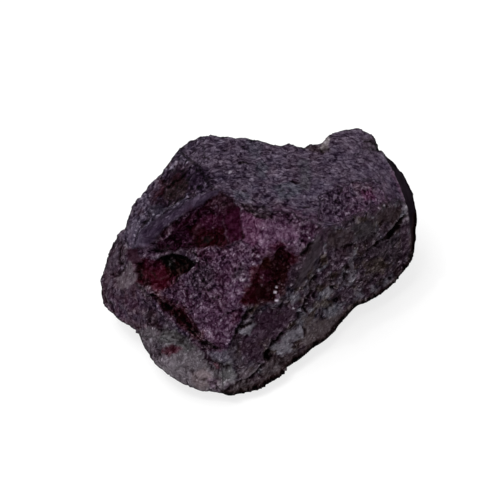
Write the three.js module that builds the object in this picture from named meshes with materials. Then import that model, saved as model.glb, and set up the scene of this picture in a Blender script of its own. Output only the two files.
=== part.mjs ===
// Rough rubellite tourmaline crystal, one natural piece with the mica and quartz that grew on it.
// Millimetres, +Z up. The origin is at the centre of the footprint, on the resting plane.
// The piece is a blocky end of a crystal: a broad top face, a broken front face that slopes down to
// a low bench, a steep broken end face at the right front, and a ribbed face at the left.
import * as THREE from "three";
import { ImprovedNoise } from "three/addons/math/ImprovedNoise.js";

// ---- driving dimensions ----
const LENGTH = 42.1; // along X, over the widest outline
const DEPTH = 32.2; // along Y
const HEIGHT = 19.6; // from the resting face to the crest of the top face
const SPLITS = 2; // each facet edge is cut into SPLITS + 1 lengths
const WAVE = 0.16; // height of the long swells left by the break
const WAVE_LENGTH = 3.4; // their wavelength
const GRAIN = 0.07; // height of the short, sugary relief
const GRAIN_LENGTH = 1.25; // its wavelength
const FLUTE = 0.05; // height of the growth flutes that run along X on the top and rear
const FLUTE_PITCH = 0.9; // distance from one flute to the next
const FOOT_FADE = 0.8; // height over which the relief dies away above the resting face
const WELD = 0.02; // points of neighbouring facets closer than this are one point
const HEART = [3.389, 2.116, 2.477]; // a point that sees the inside of every facet

// ---- corners of the facets, [x, y, z] ----
const CORNERS = [
  // rim, seen from above: once round the widest outline, clockwise from the rear left
  [-10.45, 15.13, 13.8], [-9.35, 15.14, 15], [-7.99, 15.16, 16], [-6.24, 14.57, 16.8], [-4.5, 14.19, 17.2],
  [-2.9, 13.72, 17.5], [-1.31, 13.22, 17.8], [0.15, 12.73, 18], [1.6, 11.91, 18.2], [2.79, 11.75, 18.3],
  [3.97, 11.99, 18.4], [5.03, 11.58, 18.3], [5.82, 11.44, 18.1], [6.76, 12.23, 18], [7.96, 12.47, 17.9],
  [8.64, 13.31, 17.9], [9.19, 14.19, 17.8], [10.4, 14.81, 17.7], [12.01, 15.1, 17.5], [13.49, 15.41, 17.2],
  [14.58, 15.25, 16.6], [15.33, 14.6, 15.8], [15.84, 14.04, 14.6], [17.01, 14.37, 12.8],
  [18.15, 14.17, 11.4], [19.11, 13.42, 10.6], [19.84, 12.26, 10], [20.43, 10.77, 9.3], [20.81, 9.1, 8.6],
  [21.05, 7.35, 7.8], [20.88, 6.29, 7.2], [20.96, 5.19, 6.2], [20.61, 4.05, 5], [19.93, 2.72, 4.2],
  [19.18, 1.74, 3.6], [18.23, 0.68, 3], [17, -0.34, 2.7], [15.63, -1.25, 2.5], [14.27, -2, 2.4],
  [12.91, -2.56, 2.4], [11.82, -3.71, 2.2], [10.58, -5.17, 2.1], [9.35, -6.69, 2], [8.13, -8.04, 2],
  [6.79, -8.99, 2], [5.58, -10.02, 1.9], [4.51, -10.97, 1.8], [3.58, -11.83, 1.8], [3.04, -12.94, 1.7],
  [1.59, -13.93, 1.6], [-0.13, -15.02, 1.5], [-1.83, -15.5, 1.4], [-3.54, -15.8, 1.4], [-4.98, -15.79, 1.5],
  [-6.55, -15.71, 1.7], [-8.12, -15.45, 1.9], [-9.69, -15.17, 2.2], [-11.01, -14.67, 2.5],
  [-12.32, -13.85, 2.8], [-13.52, -12.57, 3.1], [-14.6, -11.22, 3.3], [-15.49, -9.71, 3.5],
  [-16.06, -8.2, 3.6], [-17.19, -7.52, 4], [-18.42, -6.25, 4], [-19.79, -4.9, 4], [-20.71, -3.55, 4],
  [-21.05, -2.44, 4.5], [-20.99, -1.23, 5.1], [-20.87, 0.23, 5.8], [-20.49, 1.53, 6.5], [-20.1, 2.84, 7.2],
  [-19.43, 3.82, 7.9], [-18.69, 4.55, 8.6], [-17.73, 5.05, 9.4], [-17.41, 5.79, 10.2], [-17.06, 6.93, 10.9],
  [-16.14, 8.05, 11.4], [-15.08, 9.26, 11.9], [-14.02, 10.46, 12.3], [-12.97, 11.67, 12.7],
  [-12.05, 13.05, 13.1], [-11.25, 14.17, 13.4],
  // upper side: top face, left face with its rib, front face, end face, bench and lobe
  [-7.95, 12.47, 16.6], [-8.59, 10.62, 16.4], [-5.94, 11.71, 17.6], [-6.3, 8.17, 17.9], [-6.53, 5.89, 18.1],
  [-3.29, 10.91, 18.2], [-3.66, 7.49, 18.8], [-3.65, 4.81, 18.9], [-0.65, 10.11, 18.6], [-0.66, 6.37, 19.2],
  [-0.79, 3.06, 19.3], [1.58, 9.13, 18.8], [2.33, 5.26, 19.6], [2.31, 2.36, 19.6], [4.99, 9.13, 18.8],
  [5.59, 5.66, 19.5], [5.54, 2.18, 19.4], [8.16, 9.69, 18.5], [8.85, 5.96, 19.1], [8.79, 2.55, 18.9],
  [11.85, 9.66, 18.1], [12.02, 6.23, 18.3], [11.94, 3.06, 18.2], [14.82, 10.5, 17], [14.98, 7.2, 17],
  [14.92, 4.9, 16.8], [10.57, 12.02, 18.7], [12.15, 12.28, 18.8], [13.64, 12.49, 18.1], [9.39, 12.18, 18.5],
  [8.72, 11.24, 18.2], [11.22, 11.08, 18.2], [14.18, 11.68, 17.2], [6.74, 11.17, 18.3], [-5.86, 4.53, 18.4],
  [-4.42, 3.19, 18.9], [-2.6, 1.68, 19], [-1.18, 0.72, 19], [0.24, 0.01, 19.1], [2.04, 0.18, 19.3],
  [3.84, 0.18, 19.3], [5.77, -0.64, 18.9], [7.96, -1.4, 18.2], [9.39, -0.94, 18], [10.97, 0.07, 17.7],
  [12.71, 1.47, 17.3], [14.34, 2.87, 16.7], [16.41, 4.63, 15.4], [17.97, 6, 14.2], [16.5, 11.67, 15.9],
  [17.28, 10.2, 15.2], [17.92, 8.92, 14.7], [18.5, 7.72, 14.1], [18.97, 6.4, 13.2], [19.38, 5.33, 12.2],
  [19.81, 4.56, 11], [19.98, 4.09, 8.9], [19.96, 3.68, 6.7], [-10.65, 12.33, 14.6], [-9.91, 9.24, 15.6],
  [-8.4, 7.02, 16.8], [-11.69, 9.96, 14.2], [-13.28, 8.64, 13.3], [-10.81, 6.98, 15.1], [-12.69, 6.53, 13.7],
  [-14.59, 6.84, 12.6], [-15.65, 5.71, 11.9], [-14.26, 4.59, 13], [-9.16, 4.73, 16.6], [-10.74, 4.25, 15.7],
  [-12.33, 3.7, 14.9], [-14.19, 2.94, 13.7], [-15.81, 2.67, 12.5], [-7.43, 3.68, 17.8], [-8.99, 2.81, 17],
  [-10.7, 2.27, 16.2], [-12.28, 1.7, 15.2], [-13.87, 1.11, 14], [-15.23, 0.82, 12.6], [-16.49, 1.31, 11],
  [-16.65, 2.97, 11.4], [-6.12, 3.71, 18.2], [-3.64, 2.54, 18.7], [-2.21, 0.76, 18.5], [-2.08, -0.87, 17.9],
  [-2.21, -2.45, 17], [-3.37, -2.67, 16.2], [-4.93, -2.51, 15.4], [-6.76, -2.25, 14.7], [-8.6, -1.85, 13.9],
  [-10.45, -1.22, 13], [-12.2, -0.27, 12.1], [-13.67, 0.49, 11.7], [-6.78, 2.73, 16.9], [-4.93, 1.2, 17.9],
  [-4.67, -0.23, 17], [-4.29, -1.58, 16], [-3.38, 1.36, 17.9], [-2.99, -0.69, 17.2], [-6.51, 0.98, 16.2],
  [-6.25, -0.72, 15], [-8.35, 1.49, 15.5], [-8.62, 0.17, 14.2], [-10.46, 1.13, 14.2], [-10.75, 0.2, 12.8],
  [-12.34, 0.98, 12.6], [-14.46, -0.44, 11.2], [-15.42, 0.14, 10.6], [-12.46, -0.77, 11.9],
  [-7.8, -2.87, 14], [-5.71, -3.5, 14.9], [-3.63, -3.88, 15.9], [-16.46, -1.14, 9.9], [-15.4, -0.86, 10.3],
  [-14.32, -1.44, 10.8], [-13.11, -1.2, 11.6], [-11.11, -1.51, 12.5], [-9.12, -2.39, 13.3],
  [-8.46, -3.49, 13.3], [-8.98, -4.43, 12.6], [-10.17, -4.6, 11.7], [-11.48, -5.34, 10.7],
  [-13.07, -5.5, 10], [-14.41, -4.51, 9.7], [-15.75, -4.01, 9.2], [-16.58, -2.65, 9.3], [-15.15, -1.67, 9.5],
  [-14.22, -1.92, 9.4], [-12.74, -1.81, 10.4], [-10.87, -2.27, 11.3], [-9.67, -2.62, 11.8],
  [-11.82, -2.9, 9.9], [-13.4, -3.53, 9.2], [-14.98, -3.03, 9.4], [1.9, -1.52, 18.8], [4.09, -1.93, 18.5],
  [6.15, -2.38, 17.8], [-0.28, -1.48, 18.3], [-1.05, -3.15, 17.1], [0.49, -2.87, 17.6], [-2.6, -4.51, 15.9],
  [-4.53, -5.32, 14.8], [-6.48, -4.9, 14.2], [-2.6, -6.27, 14.6], [-7.13, -6.52, 12.9], [-4.92, -7.35, 13.2],
  [-3.11, -7.83, 13], [-9.09, -6.83, 11.5], [-7.13, -8.45, 11.6], [-5.18, -9.07, 11.6], [-3.37, -9.25, 11.4],
  [-8.3, -9.76, 10.3], [-6.22, -10.38, 10.3], [-4.41, -10.8, 10], [-7.13, -11.7, 9], [-5.45, -12.12, 8.7],
  [-4.03, -12.28, 8], [-5.2, -13.13, 7.4], [-10.95, -7.07, 10], [2.93, -3.23, 18.1], [4.08, -3.82, 17.6],
  [5.12, -4.44, 16.7], [5.26, -5.17, 15.5], [4.25, -5.53, 14.2], [3.48, -6.45, 12.8], [2.45, -7.63, 11.3],
  [0.77, -8.1, 10.6], [-0.79, -8.61, 10.9], [-2.08, -8.54, 12.2], [-1.57, -7.37, 13.7], [-1.05, -6.01, 14.9],
  [-0.28, -4.98, 15.9], [1.39, -4.18, 17], [2.03, -3.57, 17.7], [3.08, -3.88, 15.9], [2.05, -4.44, 14.9],
  [1.28, -5.47, 13.2], [0.25, -6.71, 11.8], [3.59, -4.65, 15.2], [6.67, -1.48, 18.3], [7.46, -2.27, 17.2],
  [5.9, -3.55, 17], [-1.57, -9.41, 10.7], [-2.34, -10.36, 9.8], [-3.12, -11.35, 8.7], [-3.77, -12.24, 7.7],
  [7.49, -2.9, 15.4], [5.92, -4.65, 15.2], [7.8, -3.8, 12.6], [5.57, -5.69, 12.6], [7.32, -4.85, 10.2],
  [4.8, -6.62, 11.2], [6.28, -6.77, 8.6], [3.9, -7.74, 9.6], [5.25, -8.27, 6.6], [2.87, -9.24, 7.6],
  [4.22, -9.61, 4.8], [1.97, -10.74, 5.6], [2.64, -11.39, 3.2], [1.05, -12.58, 3.6], [9.72, -1.32, 15.4],
  [11.71, -0.4, 15], [13.84, 1.03, 14.8], [16.04, 3.03, 13.8], [18.01, 5.06, 12.8], [18.85, 5.05, 11.9],
  [17.73, 3.17, 11.8], [16.35, 1.48, 11.9], [14.71, 0.23, 12.3], [12.82, -0.83, 12.9], [10.43, -2.18, 13],
  [18.65, 3.87, 9.9], [17.26, 1.74, 9.7], [15.34, 0.05, 9.8], [13.18, -1.37, 10], [11.02, -2.74, 10.6],
  [9.18, -3.74, 10.2], [18.79, 3.12, 6.8], [17.12, 1.16, 6.8], [14.93, -0.64, 6.6], [12.77, -1.93, 6.6],
  [10.61, -3.34, 6.8], [8.59, -4.93, 6.8], [18.6, 2.03, 4.6], [16.67, 0.22, 4.4], [14.2, -1.47, 4.5],
  [11.76, -3.01, 4.4], [9.58, -5.25, 4.4], [7.42, -7.46, 4.4], [5.82, -9.09, 4], [0.25, -8.99, 9.6],
  [1.03, -10.25, 8.2], [-0.53, -10.88, 8.7], [-1.83, -11.77, 7.2], [0, -11.75, 6.2], [-3.13, -13.24, 6.6],
  [-1.31, -13.08, 4.9], [-2.87, -14.31, 4.4], [-0.52, -13.87, 3.2], [-2.09, -14.94, 2.7],
  [-4.44, -15.04, 3.6], [1.58, -13.19, 2.6], [-14.41, -5.71, 8.9], [-13.1, -6.38, 8.5], [-11.65, -7.38, 8.1],
  [-10.2, -8.37, 7.7], [-8.88, -9.42, 7.4], [-7.96, -10.87, 7], [-6.51, -12.62, 6.6], [-5.34, -13.93, 6],
  [-12.67, -6, 9.8], [-10.17, -7.92, 9.4], [-8.85, -8.79, 9.3], [-8.07, -10.2, 8.6], [-14.43, -6.55, 7.8],
  [-13.09, -7.9, 7.7], [-11.51, -9.04, 7.3], [-9.92, -10.34, 6.9], [-8.86, -11.94, 6.5],
  [-7.55, -13.53, 6.1], [-6.25, -14.78, 5.4], [-15.78, -5.47, 7.6], [-15.36, -7.64, 6.6],
  [-13.74, -9.7, 6.4], [-14.4, -11.02, 5.3], [-12.01, -11.01, 6.5], [-10.69, -12.43, 6.3],
  [-12.79, -12.78, 5.4], [-11.46, -14.2, 5.2], [-9.11, -13.96, 5.8], [-9.63, -15.17, 4.8],
  [-7.55, -15.48, 4.8], [-5.99, -15.99, 3.9], [-4.18, -16.08, 3.3], [-17.63, 2.57, 9.9], [-17.46, 0.84, 9.6],
  [-17.57, -0.5, 9.2], [-18.86, 2.04, 8.8], [-18.68, 0.06, 8.4], [-19.54, 0.61, 7.6], [-17.95, -1.85, 8.6],
  [-19.34, -1.51, 7.4], [-20.18, -1.98, 6.2], [-17.1, -3.67, 8.7], [-18.21, -3.56, 7.6],
  [-16.02, -4.56, 8.6], [-17.11, -5.02, 7.4], [-19.6, -3.76, 6], [-18.49, -4.94, 6.1], [-17.01, -6.14, 6],
  [-16.06, -7.8, 5.4], [-18, -5.74, 4.9], [-19.9, -4.21, 5], [-16.63, 0.67, 10.3], [-16.89, -0.18, 9.9],
  // rear and underside, above the resting face
  [-11.91, 13.78, 10.4], [-7.31, 15.48, 12.2], [-2.51, 15.08, 13.4], [2.29, 13.98, 14], [6.29, 13.48, 14],
  [9.69, 14.88, 13.6], [12.89, 15.78, 12.6], [15.89, 14.78, 10.6], [18.59, 12.48, 8.2], [-14.91, 10.48, 7.6],
  [-10.51, 14.08, 7.6], [-4.71, 15.88, 8.4], [1.29, 15.78, 9], [7.49, 16.08, 8.8], [12.69, 16.08, 8],
  [16.29, 13.68, 6.2], [18.89, 9.08, 5.4], [-17.11, 5.48, 5], [-14.71, 9.48, 3.4], [-9.71, 13.48, 3.2],
  [-2.91, 15.18, 3.4], [4.09, 15.48, 3.2], [10.29, 14.78, 3.2], [14.89, 11.48, 2.8], [17.09, 6.68, 2.6],
  [16.09, 3.08, 1.9], [-18.31, -0.12, 3], [-15.91, 3.48, 1.3], [-15.71, -3.32, 1.2], [-13.71, -8.32, 1.1],
  [-10.51, -11.72, 1], [-5.91, -13.72, 0.9], [-0.31, -12.32, 0.8], [4.89, -7.22, 0.8], [10.09, -2.02, 0.8],
  [14.29, 4.08, 0.9], [14.69, 8.48, 1.2], [10.29, 12.68, 1.2], [1.29, 13.68, 1.3], [-6.31, 12.88, 1.3],
  [-12.71, 9.08, 1.4], [-11.32, 14.29, 10.9], [-12.8, 12.62, 10.2], [-14.54, 10.86, 9.4], [-16.01, 9.1, 8.6],
  // resting face
  [-12.91, -2.72, 0], [-10.71, -7.52, 0], [-6.51, -10.72, 0], [-1.91, -9.32, 0], [2.89, -4.72, 0],
  [7.29, -0.12, 0], [11.09, 4.28, 0], [10.89, 8.08, 0], [7.29, 10.28, 0], [0.29, 10.88, 0], [-6.31, 9.68, 0],
  [-11.11, 6.48, 0], [-13.11, 2.08, 0], [-5.81, -2.62, 0], [2.19, 3.38, 0],
];

// ---- facets: three corners each, counter-clockwise seen from outside ----
const FACETS = [
  56,55,354, 54,354,55, 54,53,355, 54,355,354, 305,299,273, 272,274,273, 377,190,376, 377,196,190,
  189,190,196, 67,66,370, 220,221,222, 176,156,157, 151,157,156, 158,152,153, 158,157,152, 151,152,157,
  287,289,288, 287,288,137, 29,28,137, 220,222,217, 99,96,123, 287,286,289, 287,137,136, 27,136,28,
  28,136,137, 47,324,48, 303,309,308, 278,279,277, 272,247,274, 274,247,248, 259,248,247, 99,123,124,
  99,124,102, 125,102,124, 305,304,299, 303,304,309, 299,271,273, 272,273,271, 264,269,263, 283,125,263,
  283,263,269, 303,297,298, 303,298,304, 299,304,298, 292,297,296, 69,362,70, 71,70,362, 71,360,72,
  71,362,360, 361,360,362, 377,195,196, 377,359,195, 208,195,359, 67,365,68, 67,370,365, 69,68,365,
  53,356,355, 355,356,323, 52,356,53, 354,355,343, 355,323,343, 66,375,370, 66,65,375, 56,353,57, 56,354,353,
  176,177,164, 176,164,156, 223,254,221, 2,1,83, 0,83,1, 72,360,357, 72,357,73, 230,231,227, 176,157,184,
  158,186,184, 158,184,157, 153,152,147, 29,137,138, 288,138,137, 123,122,217, 123,96,122, 125,126,102,
  283,126,125, 283,284,126, 48,324,49, 282,321,324, 50,49,321, 324,321,49, 38,37,308, 38,308,39, 309,39,308,
  309,40,39, 274,275,273, 305,273,275, 278,276,248, 278,277,276, 277,275,276, 274,248,276, 274,276,275,
  47,281,324, 282,324,281, 272,246,247, 259,247,246, 259,260,248, 250,260,251, 252,251,260, 123,217,218,
  123,218,124, 125,124,262, 125,262,263, 292,293,297, 297,293,298, 283,293,284, 292,284,293, 283,269,293,
  269,271,293, 299,293,271, 299,298,293, 35,34,306, 292,296,291, 297,302,296, 303,302,297, 303,308,302,
  296,302,301, 377,376,358, 377,358,359, 376,357,358, 360,358,357, 361,358,360, 361,359,358, 186,185,184,
  186,188,187, 186,187,185, 372,63,373, 198,197,211, 189,196,197, 189,197,198, 361,363,359, 208,359,363,
  354,352,353, 341,352,342, 354,343,342, 354,342,352, 52,322,356, 50,321,322, 320,322,321, 323,356,322,
  323,322,320, 318,332,320, 240,332,318, 323,332,343, 323,320,332, 343,332,342, 65,371,375, 370,375,371,
  316,268,318, 240,318,268, 240,268,239, 233,236,266, 61,60,347, 350,347,60, 350,348,347, 220,168,221,
  223,221,168, 223,253,254, 259,254,253, 259,253,260, 252,260,253, 88,5,4, 2,83,3, 177,118,164, 117,164,118,
  117,118,90, 117,90,87, 90,86,87, 117,87,164, 156,164,87, 90,89,86, 75,149,76, 230,202,203, 230,227,202,
  80,79,145, 78,145,79, 153,147,148, 78,148,145, 147,145,148, 180,181,166, 105,102,127, 102,126,127,
  105,127,128, 284,127,126, 101,100,98, 101,103,100, 15,112,16, 15,113,112, 17,16,112, 27,135,136,
  105,128,129, 105,129,108, 318,320,319, 320,321,319, 316,318,319, 282,319,321, 278,248,249, 278,249,313,
  248,260,249, 250,313,249, 250,249,260, 278,313,314, 315,314,313, 279,312,277, 279,45,312, 44,312,45,
  316,315,267, 315,266,267, 316,267,268, 239,268,267, 239,267,236, 266,236,267, 315,313,265, 315,265,266,
  250,265,313, 233,266,265, 250,251,265, 233,265,251, 264,270,269, 269,270,271, 272,271,270, 272,245,246,
  272,270,245, 264,244,270, 270,244,245, 259,258,254, 259,246,258, 264,263,219, 263,262,219, 124,218,219,
  124,219,262, 34,33,306, 289,286,290, 286,129,285, 128,285,129, 286,285,290, 291,290,285, 284,285,127,
  128,127,285, 292,285,284, 292,291,285, 306,300,301, 32,300,33, 306,33,300, 301,302,307, 35,306,307,
  306,301,307, 35,307,36, 308,307,302, 36,307,37, 308,37,307, 188,174,187, 211,197,210, 370,367,365,
  370,371,367, 361,362,364, 361,364,363, 69,364,362, 69,365,364, 365,367,364, 363,364,367, 205,325,333,
  338,337,345, 372,373,345, 52,51,322, 50,322,51, 240,331,332, 342,332,331, 341,342,331, 64,374,65,
  65,374,371, 372,371,374, 372,374,63, 64,63,374, 233,232,236, 350,60,59, 341,349,352, 350,349,348,
  347,348,346, 338,345,346, 373,346,345, 61,347,346, 88,6,5, 83,86,85, 83,85,3, 88,85,89, 86,89,85, 88,4,85,
  4,3,85, 83,84,86, 0,84,83, 151,146,152, 152,146,147, 147,146,145, 186,159,188, 158,153,159, 158,159,186,
  376,190,162, 376,162,357, 189,161,190, 190,161,162, 75,155,149, 149,155,154, 227,225,202, 185,187,172,
  252,253,226, 223,226,253, 223,224,226, 153,148,150, 153,150,159, 154,159,150, 149,154,150, 149,150,148,
  149,77,76, 149,148,77, 78,77,148, 138,294,139, 289,290,294, 29,138,30, 138,139,30, 139,31,30, 181,167,166,
  220,167,168, 181,168,167, 220,120,167, 120,166,167, 96,95,93, 120,121,93, 220,121,120, 96,121,122,
  96,93,121, 220,217,121, 217,122,121, 120,119,166, 120,93,119, 180,166,119, 90,119,93, 88,89,91, 7,6,91,
  88,91,6, 15,14,113, 113,14,100, 98,100,97, 94,97,9, 98,97,95, 94,95,97, 113,114,112, 113,100,114,
  103,114,100, 133,134,25, 133,107,134, 108,134,107, 27,26,135, 25,134,26, 135,26,134, 108,129,130,
  108,130,134, 135,134,130, 287,130,286, 286,130,129, 133,25,24, 133,106,107, 103,106,115, 101,104,103,
  105,108,104, 108,107,104, 103,104,106, 107,106,104, 101,102,104, 105,104,102, 278,280,279, 278,314,280,
  279,280,281, 282,281,280, 279,281,46, 279,46,45, 47,46,281, 277,311,275, 277,312,311, 246,261,258,
  246,245,261, 245,244,261, 254,258,255, 222,221,255, 221,254,255, 296,301,295, 296,295,291, 291,295,290,
  301,300,295, 290,295,294, 300,294,295, 180,177,178, 180,178,181, 184,185,182, 185,183,182, 183,178,182,
  176,184,182, 176,182,177, 177,182,178, 223,168,169, 198,211,191, 338,326,337, 338,327,326, 337,326,325,
  333,325,326, 241,333,326, 241,326,327, 205,333,204, 203,214,204, 241,204,333, 230,203,204, 230,204,241,
  239,236,238, 240,239,238, 240,238,331, 237,331,238, 211,215,214, 211,210,215, 205,204,215, 214,215,204,
  196,209,197, 197,209,210, 196,195,209, 208,209,195, 371,369,367, 372,369,371, 208,363,366, 363,367,366,
  368,366,369, 367,369,366, 236,232,235, 236,235,238, 237,238,235, 231,235,232, 338,346,339, 348,339,346,
  338,339,327, 328,327,339, 237,235,336, 230,335,231, 350,351,349, 58,351,59, 350,59,351, 352,349,351,
  353,352,351, 58,57,351, 57,353,351, 61,346,62, 373,62,346, 63,62,373, 94,9,8, 7,91,8, 94,8,91, 11,10,97,
  9,97,10, 142,143,84, 86,143,87, 86,84,143, 151,156,143, 156,87,143, 151,143,146, 142,146,143, 80,144,81,
  142,144,146, 80,145,144, 145,146,144, 142,84,141, 142,141,144, 81,144,141, 0,141,84, 188,159,160,
  154,160,159, 154,155,160, 161,160,155, 73,357,74, 192,201,225, 202,225,201, 224,193,225, 192,225,193,
  185,171,183, 185,172,171, 192,171,172, 192,193,171, 224,228,226, 227,228,225, 224,225,228, 231,228,227,
  231,232,228, 139,140,31, 139,294,140, 300,140,294, 32,140,300, 32,31,140, 180,119,165, 180,165,177,
  177,165,118, 90,118,165, 90,165,119, 93,95,92, 89,92,91, 94,92,95, 94,91,92, 90,92,89, 90,93,92,
  100,116,97, 13,116,14, 100,14,116, 19,111,20, 103,115,111, 17,112,109, 112,114,109, 17,109,18, 136,135,131,
  135,130,131, 287,136,131, 287,131,130, 20,111,21, 115,21,111, 133,132,106, 133,24,132, 23,132,24,
  282,280,317, 316,319,317, 282,317,319, 316,317,315, 315,317,314, 314,317,280, 305,275,310, 275,311,310,
  41,40,310, 41,310,42, 42,310,311, 309,310,40, 305,310,304, 309,304,310, 44,43,312, 312,43,311, 42,311,43,
  222,256,217, 222,255,256, 241,327,334, 328,334,327, 328,335,334, 230,241,334, 230,334,335, 210,216,215,
  210,209,216, 208,216,209, 337,325,344, 372,344,369, 368,344,325, 368,369,344, 372,345,344, 337,344,345,
  328,339,340, 348,340,339, 341,340,349, 348,349,340, 231,234,235, 231,335,234, 235,234,336, 0,82,141,
  81,141,82, 189,175,161, 161,175,160, 188,160,175, 188,175,174, 174,175,191, 189,198,175, 198,191,175,
  75,163,155, 75,74,163, 357,163,74, 357,162,163, 162,161,163, 161,155,163, 211,214,212, 203,212,214,
  183,179,178, 181,178,179, 181,179,168, 168,179,169, 223,194,224, 224,194,193, 223,169,194, 252,226,229,
  226,228,229, 252,229,251, 233,251,229, 233,229,232, 232,229,228, 11,97,12, 97,116,12, 13,12,116,
  18,109,110, 114,110,109, 19,18,110, 19,110,111, 103,110,114, 103,111,110, 115,22,21, 115,106,22,
  106,132,22, 23,22,132, 217,242,218, 217,256,242, 208,207,216, 208,366,207, 368,207,366, 215,216,206,
  205,206,325, 205,215,206, 216,207,206, 368,325,206, 368,206,207, 341,330,340, 237,336,330, 341,331,330,
  237,330,331, 328,340,329, 328,329,335, 336,329,330, 340,330,329, 336,234,329, 335,329,234, 211,199,191,
  211,212,199, 174,191,199, 203,202,213, 203,213,212, 202,201,213, 212,213,199, 193,194,170, 183,170,179,
  169,179,170, 169,170,194, 183,171,170, 193,170,171, 256,257,242, 258,261,257, 244,257,261, 258,257,255,
  255,257,256, 187,174,173, 174,199,173, 187,173,172, 199,213,173, 244,243,257, 242,257,243, 264,243,244,
  218,242,243, 264,219,243, 218,243,219, 172,173,200, 213,200,173, 201,200,213, 192,172,200, 192,200,201,
  101,98,102, 99,102,98, 288,294,138, 289,294,288, 99,98,95, 99,95,96, 68,404,67, 68,69,404, 69,70,404,
  404,66,67, 70,405,404, 437,433,432, 437,428,427, 431,437,432, 428,437,431, 433,417,432, 417,433,397,
  413,429,430, 429,431,430, 429,428,431, 436,437,427, 437,436,433, 42,43,428, 433,418,397, 64,65,404,
  65,66,404, 402,403,413, 403,34,35, 403,402,34, 38,39,413, 39,429,413, 414,413,430, 414,402,413, 50,51,410,
  49,410,48, 49,50,410, 411,43,44, 428,411,427, 43,411,428, 45,411,44, 411,45,46, 410,47,48, 411,47,427,
  47,411,46, 36,403,35, 418,434,405, 436,434,433, 434,418,433, 406,64,404, 406,63,64, 402,33,34, 32,33,402,
  31,32,402, 394,31,402, 420,388,397, 408,55,56, 408,425,55, 57,408,56, 408,57,58, 55,409,54, 425,409,55,
  409,53,54, 53,409,52, 416,431,432, 416,399,431, 416,390,399, 384,19,20, 383,15,16, 399,415,431,
  400,415,399, 431,415,430, 415,414,430, 391,400,399, 36,37,403, 37,38,413, 403,37,413, 418,396,397,
  396,387,397, 421,387,78, 421,420,397, 387,421,397, 387,77,78, 406,62,63, 435,434,436, 434,435,405,
  405,435,404, 435,406,404, 39,412,429, 40,412,39, 429,412,428, 412,40,41, 42,412,41, 412,42,428, 30,394,29,
  30,31,394, 388,378,419, 378,388,420, 378,81,419, 82,0,419, 81,82,419, 59,408,58, 425,424,436, 408,424,425,
  59,424,408, 426,409,425, 426,425,436, 409,426,52, 426,436,427, 426,51,52, 51,426,410, 47,426,427,
  426,47,410, 379,3,4, 3,379,2, 379,1,2, 379,388,419, 0,379,419, 1,379,0, 390,381,399, 389,379,4,
  379,389,388, 389,417,397, 388,389,397, 384,392,383, 392,391,383, 391,392,400, 385,392,384, 400,392,393,
  392,385,393, 384,18,19, 415,401,414, 394,401,393, 401,400,393, 401,415,400, 401,394,402, 414,401,402,
  14,15,383, 391,14,383, 386,394,393, 394,28,29, 386,28,394, 28,386,27, 72,395,71, 395,418,405, 395,396,418,
  395,70,71, 395,405,70, 79,421,78, 421,79,420, 80,378,420, 378,80,81, 79,80,420, 423,435,436, 424,423,436,
  435,423,406, 423,62,406, 407,59,60, 407,424,59, 61,407,60, 407,423,424, 407,61,62, 423,407,62, 381,10,11,
  10,381,9, 381,8,9, 8,390,7, 8,381,390, 389,380,390, 380,6,7, 390,380,7, 380,5,6, 5,380,4, 380,389,4,
  398,390,416, 398,389,390, 389,398,417, 417,398,432, 398,416,432, 21,384,20, 17,384,383, 17,18,384,
  17,383,16, 382,14,391, 12,382,11, 382,391,399, 381,382,399, 382,381,11, 26,386,25, 386,26,27, 23,24,385,
  385,24,393, 24,386,393, 386,24,25, 22,23,385, 22,385,384, 21,22,384, 13,382,12, 382,13,14, 395,74,396,
  74,75,396, 396,422,387, 75,422,396, 422,77,387, 73,395,72, 73,74,395, 422,76,77, 76,422,75,
];

// Divides every facet and puts its points back on the facet's own plane.
function facetedBody() {
  const heart = new THREE.Vector3(...HEART);
  const corners = CORNERS.map((c) => new THREE.Vector3(...c).sub(heart));
  const body = new THREE.PolyhedronGeometry(
    corners.flatMap((c) => c.toArray()),
    FACETS,
    1,
    SPLITS,
  );
  const directions = body.getAttribute("position");
  const perFacet = 3 * (SPLITS + 1) ** 2;
  const plane = new THREE.Plane();
  const p = new THREE.Vector3();
  const points = [];
  for (let i = 0; i < directions.count; i++) {
    if (i % perFacet === 0) {
      const f = (3 * i) / perFacet;
      plane.setFromCoplanarPoints(
        corners[FACETS[f]],
        corners[FACETS[f + 1]],
        corners[FACETS[f + 2]],
      );
    }
    p.fromBufferAttribute(directions, i);
    p.multiplyScalar(-plane.constant / plane.normal.dot(p));
    points.push(p.clone().add(heart));
  }
  return welded(points);
}

// One indexed body from loose triangles: points within WELD of each other become one point.
function welded(points) {
  const cells = new Map();
  const key = (x, y, z) => x + "," + y + "," + z;
  const cell = (p) => [
    Math.floor(p.x / WELD),
    Math.floor(p.y / WELD),
    Math.floor(p.z / WELD),
  ];
  const kept = [];
  const index = points.map((p) => {
    const [i, j, k] = cell(p);
    for (let a = -1; a <= 1; a++)
      for (let b = -1; b <= 1; b++)
        for (let c = -1; c <= 1; c++)
          for (const n of cells.get(key(i + a, j + b, k + c)) ?? [])
            if (kept[n].distanceTo(p) < WELD) return n;
    const own = key(i, j, k);
    if (!cells.has(own)) cells.set(own, []);
    cells.get(own).push(kept.length);
    kept.push(p);
    return kept.length - 1;
  });
  const body = new THREE.BufferGeometry().setFromPoints(kept);
  body.setIndex(index);
  return body;
}

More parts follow.
